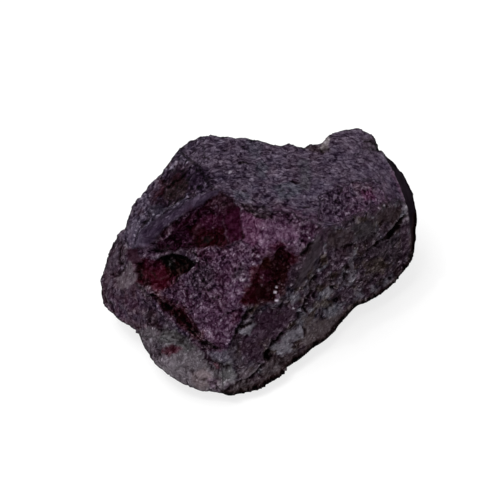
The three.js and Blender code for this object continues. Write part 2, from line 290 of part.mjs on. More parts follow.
// Raises the break's swells, the sugary grain and the flutes; the resting face stays plane.
function roughened(body) {
  body.computeVertexNormals();
  const noise = new ImprovedNoise();
  const at = body.getAttribute("position");
  const facing = body.getAttribute("normal");
  const p = new THREE.Vector3();
  const n = new THREE.Vector3();
  for (let i = 0; i < at.count; i++) {
    p.fromBufferAttribute(at, i);
    n.fromBufferAttribute(facing, i);
    const swell = noise.noise(
      p.x / WAVE_LENGTH + 7.3,
      p.y / WAVE_LENGTH + 1.9,
      p.z / WAVE_LENGTH + 4.1,
    );
    const grain = noise.noise(
      p.x / GRAIN_LENGTH,
      p.y / GRAIN_LENGTH,
      p.z / GRAIN_LENGTH,
    );
    // the prism faces, at the top and rear, carry the flutes
    const prism = THREE.MathUtils.smoothstep(n.y * 0.55 + n.z * 0.83, 0.7, 0.95);
    const flute = Math.sin(
      ((p.y - p.z * 0.7) * 2 * Math.PI) / FLUTE_PITCH + 1.6 * swell,
    );
    const relief = WAVE * swell + GRAIN * grain + FLUTE * prism * flute;
    const fade = THREE.MathUtils.smoothstep(p.z, 0.02, FOOT_FADE);
    p.addScaledVector(n, relief * fade);
    at.setXYZ(i, p.x, p.y, Math.max(p.z, 0));
  }
  return body;
}

// Brings the body to its driving dimensions and sets it on its resting plane.
function sized(body) {
  body.computeBoundingBox();
  const { min, max } = body.boundingBox;
  body.translate(-(min.x + max.x) / 2, -(min.y + max.y) / 2, -min.z);
  body.scale(
    LENGTH / (max.x - min.x),
    DEPTH / (max.y - min.y),
    HEIGHT / (max.z - min.z),
  );
  body.computeVertexNormals();
  return body;
}

const tourmaline = new THREE.MeshStandardMaterial({
  color: 0x4b3a49, // dusky purple-grey, wine red where freshly broken
  roughness: 0.55,
  metalness: 0,
});

const crystal = new THREE.Mesh(sized(roughened(facetedBody())), tourmaline);
crystal.name = "rubellite_crystal";

const specimen = new THREE.Group();
specimen.name = "rubellite_specimen";
specimen.add(crystal);

export default specimen;
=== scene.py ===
import math

import bpy
import numpy as np
from mathutils import Matrix, Vector


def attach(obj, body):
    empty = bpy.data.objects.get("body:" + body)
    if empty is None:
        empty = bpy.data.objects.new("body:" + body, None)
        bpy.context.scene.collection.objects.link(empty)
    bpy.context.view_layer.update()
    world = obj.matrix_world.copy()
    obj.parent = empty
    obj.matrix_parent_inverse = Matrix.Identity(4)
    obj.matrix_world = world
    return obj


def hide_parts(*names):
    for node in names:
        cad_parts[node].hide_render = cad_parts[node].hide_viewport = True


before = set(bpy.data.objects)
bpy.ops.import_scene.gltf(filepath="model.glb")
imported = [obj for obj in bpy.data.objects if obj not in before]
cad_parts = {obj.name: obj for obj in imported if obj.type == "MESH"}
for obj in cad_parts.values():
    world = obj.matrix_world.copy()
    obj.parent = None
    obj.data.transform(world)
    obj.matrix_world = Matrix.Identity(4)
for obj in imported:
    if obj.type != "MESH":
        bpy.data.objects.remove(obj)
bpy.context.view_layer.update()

NODE = "rubellite_crystal"

# ------------------------------------------------------------------ the view
# Lengths in this file are in millimetres until a mesh is handed to Blender.
# View points (u, v) are in a 500 x 500 frame.
ELEVATION = math.radians(55.0)
FOCAL_PX = 2268.0
DISTANCE = 300.0
AIM = np.array([-1.307, 0.880, 10.0])
FORWARD = np.array([0.0, math.cos(ELEVATION), -math.sin(ELEVATION)])
UPWARD = np.array([0.0, math.sin(ELEVATION), math.cos(ELEVATION)])
EYE = AIM - FORWARD * DISTANCE


def to_view(p):
    """Where points of the stone fall in the view's frame."""
    q = p - EYE
    depth = q @ FORWARD
    return np.stack([250 + FOCAL_PX * q[:, 0] / depth, 250 - FOCAL_PX * (q @ UPWARD) / depth], 1)


# ------------------------------------------------------------------ noise
def hashed(i, j, k, seed):
    m = np.uint64(0xFFFFFFFF)
    n = (i.astype(np.int64) * 73856093) ^ (j.astype(np.int64) * 19349663) ^ (k.astype(np.int64) * 83492791) ^ (seed * 668265263)
    n = n.astype(np.uint64) & m
    n = ((n ^ (n >> np.uint64(15))) * np.uint64(2246822519)) & m
    n = ((n ^ (n >> np.uint64(13))) * np.uint64(3266489917)) & m
    n = n ^ (n >> np.uint64(16))
    return n.astype(np.float64) / 4294967296.0


def noise(p, seed=0):
    """Gradient noise, about -1 to 1."""
    f = np.floor(p)
    d = p - f
    f = f.astype(np.int64)
    w = d * d * d * (d * (d * 6 - 15) + 10)
    out = np.zeros(len(p))
    for a in (0, 1):
        for b in (0, 1):
            for c in (0, 1):
                i, j, k = f[:, 0] + a, f[:, 1] + b, f[:, 2] + c
                h = hashed(i, j, k, seed) * 2 * math.pi
                z = hashed(i, j, k, seed + 77) * 2 - 1
                r = np.sqrt(1 - z * z)
                g = r * np.cos(h) * (d[:, 0] - a) + r * np.sin(h) * (d[:, 1] - b) + z * (d[:, 2] - c)
                wx = w[:, 0] if a else 1 - w[:, 0]
                wy = w[:, 1] if b else 1 - w[:, 1]
                wz = w[:, 2] if c else 1 - w[:, 2]
                out += g * wx * wy * wz
    return out * 1.6


def fbm(p, octaves=3, seed=0, gain=0.5):
    out, amp, tot = np.zeros(len(p)), 1.0, 0.0
    for o in range(octaves):
        out += amp * noise(p * 2.03**o + 11.7 * o, seed + 13 * o)
        tot += amp
        amp *= gain
    return out / tot


def grains(p, seed=0):
    """Random cells: distance to the nearest centre, to the next one, a random number for the cell, and a random slope over it."""
    f = np.floor(p).astype(np.int64)
    n = len(p)
    d1, d2 = np.full(n, 9.0), np.full(n, 9.0)
    rnd, slope = np.zeros(n), np.zeros(n)
    for a in (-1, 0, 1):
        for b in (-1, 0, 1):
            for c in (-1, 0, 1):
                i, j, k = f[:, 0] + a, f[:, 1] + b, f[:, 2] + c
                o = np.stack([i + hashed(i, j, k, seed), j + hashed(i, j, k, seed + 1), k + hashed(i, j, k, seed + 2)], 1)
                q = p - o
                d = np.sqrt((q * q).sum(1))
                near = d < d1
                d2 = np.where(near, d1, np.minimum(d2, d))
                h = hashed(i, j, k, seed + 3)
                t = h * 2 * math.pi
                z = hashed(i, j, k, seed + 4) * 2 - 1
                r = np.sqrt(1 - z * z)
                s = q[:, 0] * r * np.cos(t) + q[:, 1] * r * np.sin(t) + q[:, 2] * z
                rnd = np.where(near, hashed(i, j, k, seed + 5), rnd)
                slope = np.where(near, s, slope)
                d1 = np.where(near, d, d1)
    return d1, d2, rnd, slope


def chips(p, size, seed):
    """Facets of broken grains of this size in mm: the height in mm for a tilt of 1, distances to the two nearest centres, and each grain's number."""
    d1, d2, rnd, slope = grains(p / size, seed)
    return slope * size, d1, d2, rnd


def smooth(a, b, x):
    t = np.clip((x - a) / (b - a), 0, 1)
    return t * t * (3 - 2 * t)


# ------------------------------------------------------------------ outlines in the view
def inside(uv, pts):
    """Signed distance to a closed outline, positive inside."""
    pts = np.asarray(pts, float)
    best = np.full(len(uv), 1e9)
    odd = np.zeros(len(uv), bool)
    for a, b in zip(pts, np.roll(pts, -1, 0)):
        e = b - a
        w = uv - a
        t = np.clip((w @ e) / (e @ e), 0, 1)
        best = np.minimum(best, ((w - t[:, None] * e) ** 2).sum(1))
        cross = (a[1] > uv[:, 1]) != (b[1] > uv[:, 1])
        x = a[0] + (uv[:, 1] - a[1]) * e[0] / (e[1] if e[1] else 1e-9)
        odd ^= cross & (uv[:, 0] < x)
    best = np.sqrt(best)
    return np.where(odd, best, -best)


def along(uv, pts):
    """Distance to an open line and the share of its length passed."""
    pts = np.asarray(pts, float)
    seg = np.sqrt(((pts[1:] - pts[:-1]) ** 2).sum(1))
    total, gone = seg.sum(), 0.0
    best, share, side = np.full(len(uv), 1e9), np.zeros(len(uv)), np.zeros(len(uv))
    for a, b, s in zip(pts[:-1], pts[1:], seg):
        e = b - a
        w = uv - a
        t = np.clip((w @ e) / (e @ e), 0, 1)
        d = ((w - t[:, None] * e) ** 2).sum(1)
        near = d < best
        share = np.where(near, (gone + t * s) / total, share)
        side = np.where(near, np.sign(e[0] * w[:, 1] - e[1] * w[:, 0]), side)
        best = np.where(near, d, best)
        gone += s
    return np.sqrt(best), share, side


TOP = [(176, 150), (184, 142), (200, 128), (240, 128), (300, 135), (330, 122), (380, 122), (382, 150), (392, 168), (400, 187), (406, 205), (403, 203), (396, 200), (385, 203), (370, 208), (358, 214), (345, 221), (333, 226), (322, 228), (305, 220), (290, 213), (276, 213), (262, 215), (251, 211), (240, 205), (226, 196), (214, 190), (206, 180), (200, 168), (190, 160)]
FRONT = [(240, 205), (251, 211), (262, 215), (276, 213), (290, 213), (305, 220), (322, 229), (316, 238), (306, 247), (296, 244), (283, 240), (272, 250), (258, 262), (251, 280), (243, 300), (240, 320), (231, 343), (221, 361), (210, 350), (198, 336), (184, 316), (171, 306), (150, 294), (160, 290), (175, 280), (193, 272), (195, 258), (200, 250), (225, 248), (243, 240)]
END = [(322, 229), (333, 226), (345, 221), (358, 214), (370, 208), (385, 203), (396, 200), (406, 205), (412, 222), (420, 260), (380, 310), (300, 372), (250, 400), (222, 398), (221, 361), (231, 343), (240, 320), (250, 306), (262, 301), (278, 300), (287, 284), (293, 270), (301, 262), (299, 252), (306, 247), (316, 238)]
COARSE = [(318, 196), (338, 188), (352, 182), (374, 180), (382, 190), (388, 202), (370, 206), (345, 219), (333, 224), (320, 222)]
SMOOTH_END = [(322, 231), (345, 225), (360, 217), (378, 208), (398, 202), (403, 212), (398, 219), (388, 231), (374, 241), (357, 246), (340, 253), (328, 262), (318, 272), (312, 288), (303, 296), (294, 296), (290, 284), (296, 272), (303, 262), (304, 250), (312, 243)]
# the steep right side, coloured dark as painted shade
SIDE_BAND = [(381, 150), (388, 163), (393, 174), (397.5, 183), (401.2, 195), (405.7, 208), (408.8, 222), (410.4, 237), (410.5, 250), (425, 262), (430, 200), (405, 150)]
LEFT_LOBE = [(131, 216), (128, 236), (128, 262), (134, 276), (146, 292), (158, 310), (172, 326), (190, 346), (150, 336), (138, 336), (120, 326), (90, 312), (92, 270), (105, 235)]
BENCH = [(138, 330), (150, 326), (164, 326), (178, 334), (190, 345), (204, 358), (214, 368), (222, 378), (232, 388), (236, 400), (190, 400), (140, 366), (128, 336)]
LEFT_FACE = [(214, 190), (206, 180), (200, 168), (190, 160), (176, 150), (150, 160), (120, 210), (120, 240), (134, 246), (150, 236), (170, 222), (190, 208), (206, 198)]

WINDOW_0 = [(147, 206), (150, 196), (158, 187), (165, 178), (174, 170), (184, 165), (195, 166), (204, 173), (206, 181), (199, 189), (189, 195), (178, 200), (166, 206), (154, 211)]
WINDOW_1 = [(207, 199), (216, 195), (225, 195), (235, 202), (242, 208), (241, 220), (244, 238), (236, 243), (225, 247), (208, 246), (194, 247), (178, 250), (160, 251), (154, 247), (164, 238), (177, 228), (190, 214), (199, 207)]
WINDOW_2 = [(135, 264), (143, 259), (152, 261), (161, 256), (175, 254), (189, 256), (194, 263), (191, 270), (182, 274), (172, 279), (166, 287), (158, 290), (151, 286), (141, 284), (136, 276)]
WINDOW_3 = [(281, 241), (288, 246), (296, 249), (300, 257), (297, 264), (289, 270), (285, 280), (281, 291), (275, 303), (262, 302), (252, 306), (243, 303), (246, 290), (251, 275), (258, 263), (267, 254), (272, 246)]
GROOVE = [(148, 291), (160, 296), (172, 304), (183, 312), (191, 321), (198, 330), (202, 340), (194, 340), (185, 333), (176, 325), (167, 316), (157, 307), (148, 299)]

RIB_FOOT = [(214, 203), (204, 210), (194, 218), (184, 226), (172, 234), (160, 243)]
RIB_BAND = [(222, 189), (208, 192), (196, 198), (186, 203), (178, 207), (166, 213), (154, 220), (145, 228), (138, 236), (134, 248), (146, 247), (152, 242), (158, 236), (163, 230), (170, 224), (176, 219), (184, 214), (192, 209), (200, 205), (210, 199), (222, 195)]

# Where the skin swells or draws in along the outline: height in mm, width in view points, the line.
SWELLS = [
    (0.42, 9.0, [(409, 258), (400, 276), (385, 290), (366, 300)]),
    (0.54, 9.0, [(366, 300), (350, 313), (335, 329)]),
    (0.72, 9.0, [(335, 329), (322, 342), (305, 352), (294, 362), (284, 370), (272, 380)]),
    (0.72, 9.0, [(272, 380), (255, 388), (230, 393)]),
    (0.34, 8.0, [(230, 393), (205, 390)]),
    (0.30, 5.0, [(362, 128), (368, 131), (373, 137), (377, 147)]),
    (-0.26, 4.0, [(390, 157), (395, 162), (399, 168)]),
    (0.16, 6.0, [(214, 136), (240, 137), (265, 142)]),
    (0.18, 5.0, [(278, 146), (290, 144), (300, 146)]),
    (0.12, 7.0, [(172, 158), (160, 174), (150, 186)]),
    (0.24, 6.0, [(134, 206), (130, 211), (128, 218)]),
    (0.18, 5.0, [(120, 232), (115, 240)]),
    (-0.18, 6.0, [(110, 248), (107, 258), (104, 270)]),
    (0.20, 6.0, [(102, 284), (101, 297), (105, 304)]),
    (0.24, 6.0, [(105, 304), (112, 312), (120, 318)]),
    (0.20, 7.0, [(415, 195), (417, 210), (416, 222)]),
    (0.20, 6.0, [(416, 222), (418, 238), (415, 252)]),
]

# Cracks and hollows, sunk in the relief and painted dark as shade: width in view points, depth in mm, how dark the
# painted shade is, the line.
CRACKS = [
    (3.6, 0.20, 0.22, [(152, 297), (158, 300), (164, 303), (170, 308), (176, 313), (182, 317), (187, 322), (190, 328), (196, 331), (201, 335)]),
    (2.2, 0.25, 0.6, [(200, 342), (207, 342), (211, 346), (215, 349), (221, 349)]),
    (1.7, 0.20, 0.5, [(208, 356), (213, 361), (218, 364), (223, 366), (230, 366)]),
    (2.7, 0.55, 1.2, [(405.5, 215), (402, 218.5), (398, 222.5), (394.5, 228), (391, 233), (387.5, 237.5), (383, 240), (379, 241.5)]),
    (1.3, 0.35, 1.1, [(382, 240.5), (377, 242.5), (373, 246.5), (368, 249.5)]),
    (1.3, 0.30, 0.7, [(368, 249), (366, 256), (361, 258)]),
    (1.4, 0.40, 0.9, [(318, 274), (313, 281), (309, 285), (304, 289)]),
    (1.5, 0.40, 0.9, [(311, 288), (309, 296), (305, 302), (303, 307), (306, 313)]),
    (1.1, 0.20, 0.8, [(336, 285), (332, 288), (328, 284)]),
    (1.4, 0.25, 0.7, [(334, 302), (338, 298), (343, 296)]),
    (1.3, 0.35, 0.9, [(282, 331), (279, 338), (275, 342), (271, 347)]),
    (2.6, 0.60, 1.0, [(271, 351), (267, 354), (266, 358), (270, 361)]),
    (1.3, 0.35, 0.9, [(264, 362), (260, 368), (256, 372), (252, 376), (248, 378)]),
    (1.7, 0.40, 0.85, [(253, 308), (248, 312), (244, 318), (242, 323), (238, 330), (234, 336), (231, 342)]),
    (1.3, 0.25, 0.9, [(239, 329), (243, 326.5), (248, 325), (252, 322)]),
    (1.7, 0.25, 0.6, [(122, 238), (123, 245), (120, 252), (120, 259), (123, 264), (124, 269), (120, 273), (115, 277)]),
    (1.2, 0.15, 0.8, [(136, 283), (140, 288), (144, 291), (148, 292)]),
    (1.5, 0.20, 0.8, [(183, 275), (177, 280), (173, 284)]),
    (2.0, 0.25, 0.8, [(300, 256), (304, 252), (309, 248), (314, 242)]),
    (1.4, 0.20, 0.5, [(274, 257), (278, 252), (283, 248), (288, 246)]),
    (1.4, 0.15, 0.6, [(241, 204), (243, 207), (247, 206), (250, 209), (254, 213)]),
    (1.3, 0.12, 0.6, [(255, 216), (260, 218), (267, 219)]),
    (1.2, 0.15, 0.9, [(239, 163), (247, 163.5), (248, 166)]),
    (1.1, 0.15, 0.9, [(290, 182), (300, 183)]),
    (1.0, 0.10, 0.8, [(241, 191.5), (247, 192)]),
    (1.0, 0.10, 0.9, [(280, 192.5), (284, 190)]),
    (1.0, 0.10, 0.8, [(259, 207.5), (265, 206.5)]),
    (1.0, 0.10, 0.8, [(302, 207.5), (311, 207)]),
    (1.1, 0.12, 0.9, [(323, 199), (324, 204)]),
    (1.1, 0.12, 0.8, [(340, 192), (343, 188)]),
    (1.1, 0.12, 0.8, [(335, 200), (340, 202)]),
    (1.1, 0.12, 0.8, [(194, 169), (200, 170)]),
    (1.1, 0.12, 0.7, [(203, 158), (210, 158.5)]),
    (1.0, 0.10, 0.9, [(208, 180), (211, 179)]),
    (1.6, 0.12, 0.5, [(183, 175), (176, 180), (171, 184), (168, 188)]),
    (1.2, 0.10, 0.6, [(166, 192), (172, 195), (174, 199)]),
    (1.4, 0.10, 0.6, [(170, 206), (178, 201), (186, 197)]),
    (1.3, 0.12, 0.6, [(151, 217), (146, 222), (142, 229)]),
    (1.2, 0.15, 0.7, [(171, 338), (178, 339), (185, 341)]),
    (1.1, 0.12, 0.5, [(158, 330), (172, 331)]),
    (1.1, 0.15, 0.7, [(208, 381), (213, 381), (216, 384), (217, 389)]),
    (1.3, 0.20, 0.7, [(319, 151), (330, 149)]),
    # painted shade down the knob's right side
    (1.3, 0.15, 0.6, [(364, 141), (371, 142), (375, 147), (378, 152)]),
    (1.2, 0.12, 0.9, [(208.5, 289), (209.5, 292)]),
    (1.1, 0.12, 0.8, [(213, 299), (216, 298)]),
    (1.2, 0.12, 0.8, [(176, 302), (178, 304)]),
    (1.5, 0.15, 0.8, [(192, 252), (198, 255)]),
    (1.3, 0.12, 0.7, [(152, 250), (160, 251), (168, 250)]),
    (1.2, 0.12, 0.7, [(340, 247), (350, 245), (356, 241)]),
    (1.1, 0.12, 0.6, [(302, 311), (298, 318), (292, 324)]),
    (1.1, 0.12, 0.6, [(281, 303), (280, 310), (276, 317)]),
    (1.1, 0.15, 0.7, [(303, 326), (305, 331), (303, 337)]),
    (1.1, 0.12, 0.6, [(347, 264), (344, 272), (343, 280)]),
    (1.1, 0.12, 0.5, [(397, 258), (397, 268)]),
    (1.2, 0.15, 0.6, [(104, 296), (110, 304), (114, 306)]),
    (1.5, 0.10, 0.35, [(160, 336), (170, 333), (181, 335), (190, 342), (197, 352), (200, 362)]),
    (1.3, 0.10, 0.30, [(166, 343), (174, 341), (184, 344), (190, 351)]),
    (1.6, 0.12, 0.35, [(203, 352), (208, 362), (214, 372)]),
    (1.2, 0.12, 0.5, [(146, 324), (152, 326), (158, 321)]),
    (1.8, 0.15, 0.55, [(170, 336), (174, 338), (179, 340), (184, 343)]),
    (1.2, 0.12, 0.35, [(151, 346), (157, 348), (160, 353), (159, 360)]),
    (1.2, 0.12, 0.35, [(193, 365), (191, 371), (195, 376), (202, 379), (208, 378)]),
    (1.2, 0.12, 0.30, [(176, 370), (180, 367), (185, 368), (187, 373)]),
    (1.1, 0.10, 0.35, [(206, 352), (209, 358), (208, 366), (204, 371)]),
    (1.5, 0.15, 0.6, [(225, 389), (233, 385), (241, 380), (249, 377)]),
]

# Ridges that catch the light, raised in the relief and painted lighter as a highlight: width, height in mm, how light,
# the line.
RIDGES = [
    (1.1, 0.10, 0.8, [(223, 219), (224, 227), (226, 234), (229, 242)]),
    (1.0, 0.08, 0.5, [(190, 225), (195, 222), (199, 224), (196, 229), (204, 225)]),
    (1.2, 0.10, 0.5, [(196, 250), (208, 249), (222, 247), (232, 245)]),
    (1.3, 0.03, 0.1, [(203, 202), (192, 208), (182, 213), (174, 219), (166, 226), (158, 234), (150, 242)]),
    (1.4, 0.03, 0.1, [(216, 191), (205, 196), (194, 202), (185, 206)]),
    (1.3, 0.12, 0.8, [(197, 262), (195, 268), (190, 273), (184, 276), (178, 279)]),
    (1.1, 0.08, 0.6, [(197, 257), (202, 262), (206, 268)]),
    (1.1, 0.10, 0.7, [(134, 279), (138, 286), (144, 292), (150, 296)]),
    (1.2, 0.08, 0.5, [(141, 258), (150, 256), (158, 255), (170, 253)]),
    (1.4, 0.12, 0.9, [(127, 244), (125.5, 254), (126, 264), (129, 269)]),
    (1.3, 0.12, 0.8, [(134.5, 264), (135.5, 272), (137, 281), (140, 288)]),
    (1.5, 0.08, 0.4, [(131.5, 230), (132, 238), (132, 248)]),
    (1.2, 0.08, 0.7, [(208, 288), (213, 284)]),
    (1.2, 0.08, 0.5, [(239, 290), (236, 296), (234, 302)]),
    (1.1, 0.10, 0.6, [(397, 220), (392, 226), (388, 231)]),
    (1.1, 0.12, 0.95, [(387, 163), (392, 174), (396.3, 183), (400.2, 195), (404.5, 208), (407.5, 222)]),
    (1.1, 0.10, 0.6, [(284, 250), (292, 254), (299, 256)]),
    (1.1, 0.08, 0.6, [(263, 359), (257, 368), (250, 374)]),
    (1.2, 0.10, 0.5, [(248, 376), (238, 380), (228, 384), (220, 386)]),
    (1.1, 0.08, 0.5, [(316, 271), (312, 277)]),
    (1.0, 0.06, 0.5, [(273, 331), (280, 329)]),
    (1.1, 0.08, 0.5, [(193, 341), (198, 349), (200, 356)]),
    (1.0, 0.06, 0.5, [(291, 180.5), (300, 181)]),
    (1.4, 0.10, 0.6, [(155, 303), (161, 309), (168, 315.5), (175, 322), (182, 328.5), (188, 334)]),
    (1.1, 0.08, 0.6, [(354, 219), (359, 222)]),
    (1.1, 0.08, 0.7, [(344, 211), (350, 215)]),
    (1.1, 0.08, 0.4, [(330, 226), (340, 228), (344, 226)]),
    (1.3, 0.05, 0.4, [(244, 199), (254, 203), (262, 202)]),
    (1.5, 0.10, 0.45, [(187, 343), (192, 345), (196, 350), (198, 357), (197, 363)]),
    (1.2, 0.08, 0.35, [(163, 346), (169, 343.5), (176, 344)]),
    (1.3, 0.08, 0.35, [(178, 366), (183, 368), (188, 372), (190, 380)]),
    (1.6, 0.12, 0.45, [(219, 385), (226, 382), (233, 377), (240, 371), (246, 367)]),
    (1.2, 0.08, 0.30, [(146, 331), (144, 337), (148, 345)]),
    (1.1, 0.05, 0.35, [(233, 198), (246, 206), (258, 210), (270, 217), (282, 220)]),
]

# Painted highlights: single glints of light on grains, painted pale: place, size, how bright.
PAINTED_GLINTS = [
    (230, 172.5, 1.5, 1.0), (276.5, 287.5, 1.8, 1.2), (275, 292.5, 1.8, 1.2), (276.5, 300, 1.4, 1.1), (293, 308, 1.5, 0.9), (310, 238, 1.5, 0.8),
    (313, 240, 1.3, 0.6), (196, 258, 1.8, 0.8), (262, 278, 1.3, 0.5), (262, 285, 1.2, 0.4), (291, 284, 1.5, 0.6), (283, 288, 1.3, 0.4), (282, 284, 1.0, 0.4),
    (191, 297, 1.4, 0.7), (197.5, 306, 1.5, 0.7), (243.5, 280, 1.5, 0.8), (243.5, 292, 1.4, 0.6), (253, 255, 1.4, 0.7), (258.5, 256, 1.5, 0.7), (253.5, 263.5, 1.4, 0.6),
    (242, 263.5, 1.3, 0.6), (221, 320, 1.2, 0.6), (222, 326, 1.2, 0.5), (210, 333, 1.3, 0.6), (198, 363, 1.4, 0.5), (311, 197, 1.3, 0.5), (348, 213, 1.4, 0.7),
    (383, 205, 1.4, 0.6), (212, 228, 1.1, 0.4), (215, 230, 1.1, 0.4), (212, 237, 1.1, 0.4), (169, 265, 1.3, 0.5), (238, 290, 1.8, 0.5), (325, 143, 1.8, 0.5),
    (174.5, 344, 1.5, 0.5), (198.5, 363.5, 1.5, 0.5), (151, 339.5, 1.6, 0.5), (170, 364, 1.3, 0.3), (201, 381, 1.6, 0.35),
    (261, 277, 1.3, 0.3), (264, 280, 1.2, 0.25), (262, 286, 1.3, 0.3), (283, 291, 1.8, 0.25), (277, 269, 1.2, 0.25), (279, 283, 1.2, 0.3),
    (263, 212, 1.0, 0.3), (247, 174, 1.2, 0.5), (283, 187, 1.2, 0.4), (338, 207, 1.3, 0.5), (403, 220, 1.2, 0.4), (238, 155, 1.4, 0.4), (216, 364, 1.0, 0.4),
]

# The stone's minerals, with tones for painted shade and highlights, by how light they look in soft daylight, 0 to 255
TONES = {
    "mauve": (60, 46, 58), "top": (71, 60, 74), "top_lilac": (78, 67, 81), "top_dark": (50, 40, 53), "grey_blue": (68, 66, 76), "grey_green": (64, 61, 67),
    "pink_grey": (85, 67, 77), "magenta": (76, 42, 65), "plum_mix": (64, 45, 60), "brown_grey": (58, 47, 50), "bark": (38, 28, 31), "cream": (128, 120, 122),
    "olive_dark": (44, 34, 35), "front": (60, 41, 56), "front_pink": (87, 57, 78), "front_lilac": (87, 63, 83), "front_grey": (56, 45, 55), "front_light": (104, 80, 98),
    "wine": (50, 22, 36), "front_low": (73, 53, 70), "ice": (74, 69, 80), "left": (59, 49, 62), "left_lilac": (77, 68, 83), "left_blue": (47, 42, 53),
    "w0": (32, 18, 29), "w0_navy": (31, 20, 35), "w0_brown": (38, 26, 28), "w0_red": (47, 23, 31), "rib": (46, 36, 50), "rib_lilac": (61, 50, 67),
    "w1_dark": (27, 8, 16), "w1_apex": (45, 27, 36), "w1_plum": (50, 20, 37), "w1_red": (37, 9, 16), "w1_brown": (36, 15, 21), "w1_mid": (35, 15, 27), "w1_left": (38, 16, 31),
    "ledge": (56, 46, 54), "w2_red": (50, 15, 25), "w2_bright": (56, 17, 29), "w2_plum": (55, 22, 37), "w2_black": (8, 3, 3), "w2_green": (25, 25, 22), "w2_brown": (30, 10, 9),
    "w3_dark": (27, 7, 10), "w3_brown": (36, 16, 13), "w3_red": (41, 12, 20), "w3_block": (38, 20, 22), "w3_plum": (56, 24, 40), "groove": (46, 22, 27), "lobe": (62, 48, 58), "lobe_violet": (64, 54, 64),
    "pale": (92, 82, 88), "brown_mauve": (46, 28, 38), "bench": (77, 69, 75), "quartz": (92, 85, 91), "quartz_tan": (105, 92, 95), "quartz_green": (80, 78, 80), "rust": (63, 33, 42),
    "end": (44, 36, 42), "end_violet": (49, 36, 46), "end_brown": (46, 37, 40), "end_green": (46, 42, 45), "end_olive": (48, 40, 36), "end_strip": (50, 43, 48),
    "end_dark": (38, 29, 36), "mica": (88, 85, 92), "mica_beige": (71, 65, 63), "mica_blue": (79, 78, 85), "rim": (58, 50, 52), "shaded_band": (34, 29, 34), "painted_shade_side": (45, 36, 45), "hole": (12, 5, 6), "painted_foot_shadow": (38, 28, 28), "painted_ridge_highlight": (118, 112, 119),
}
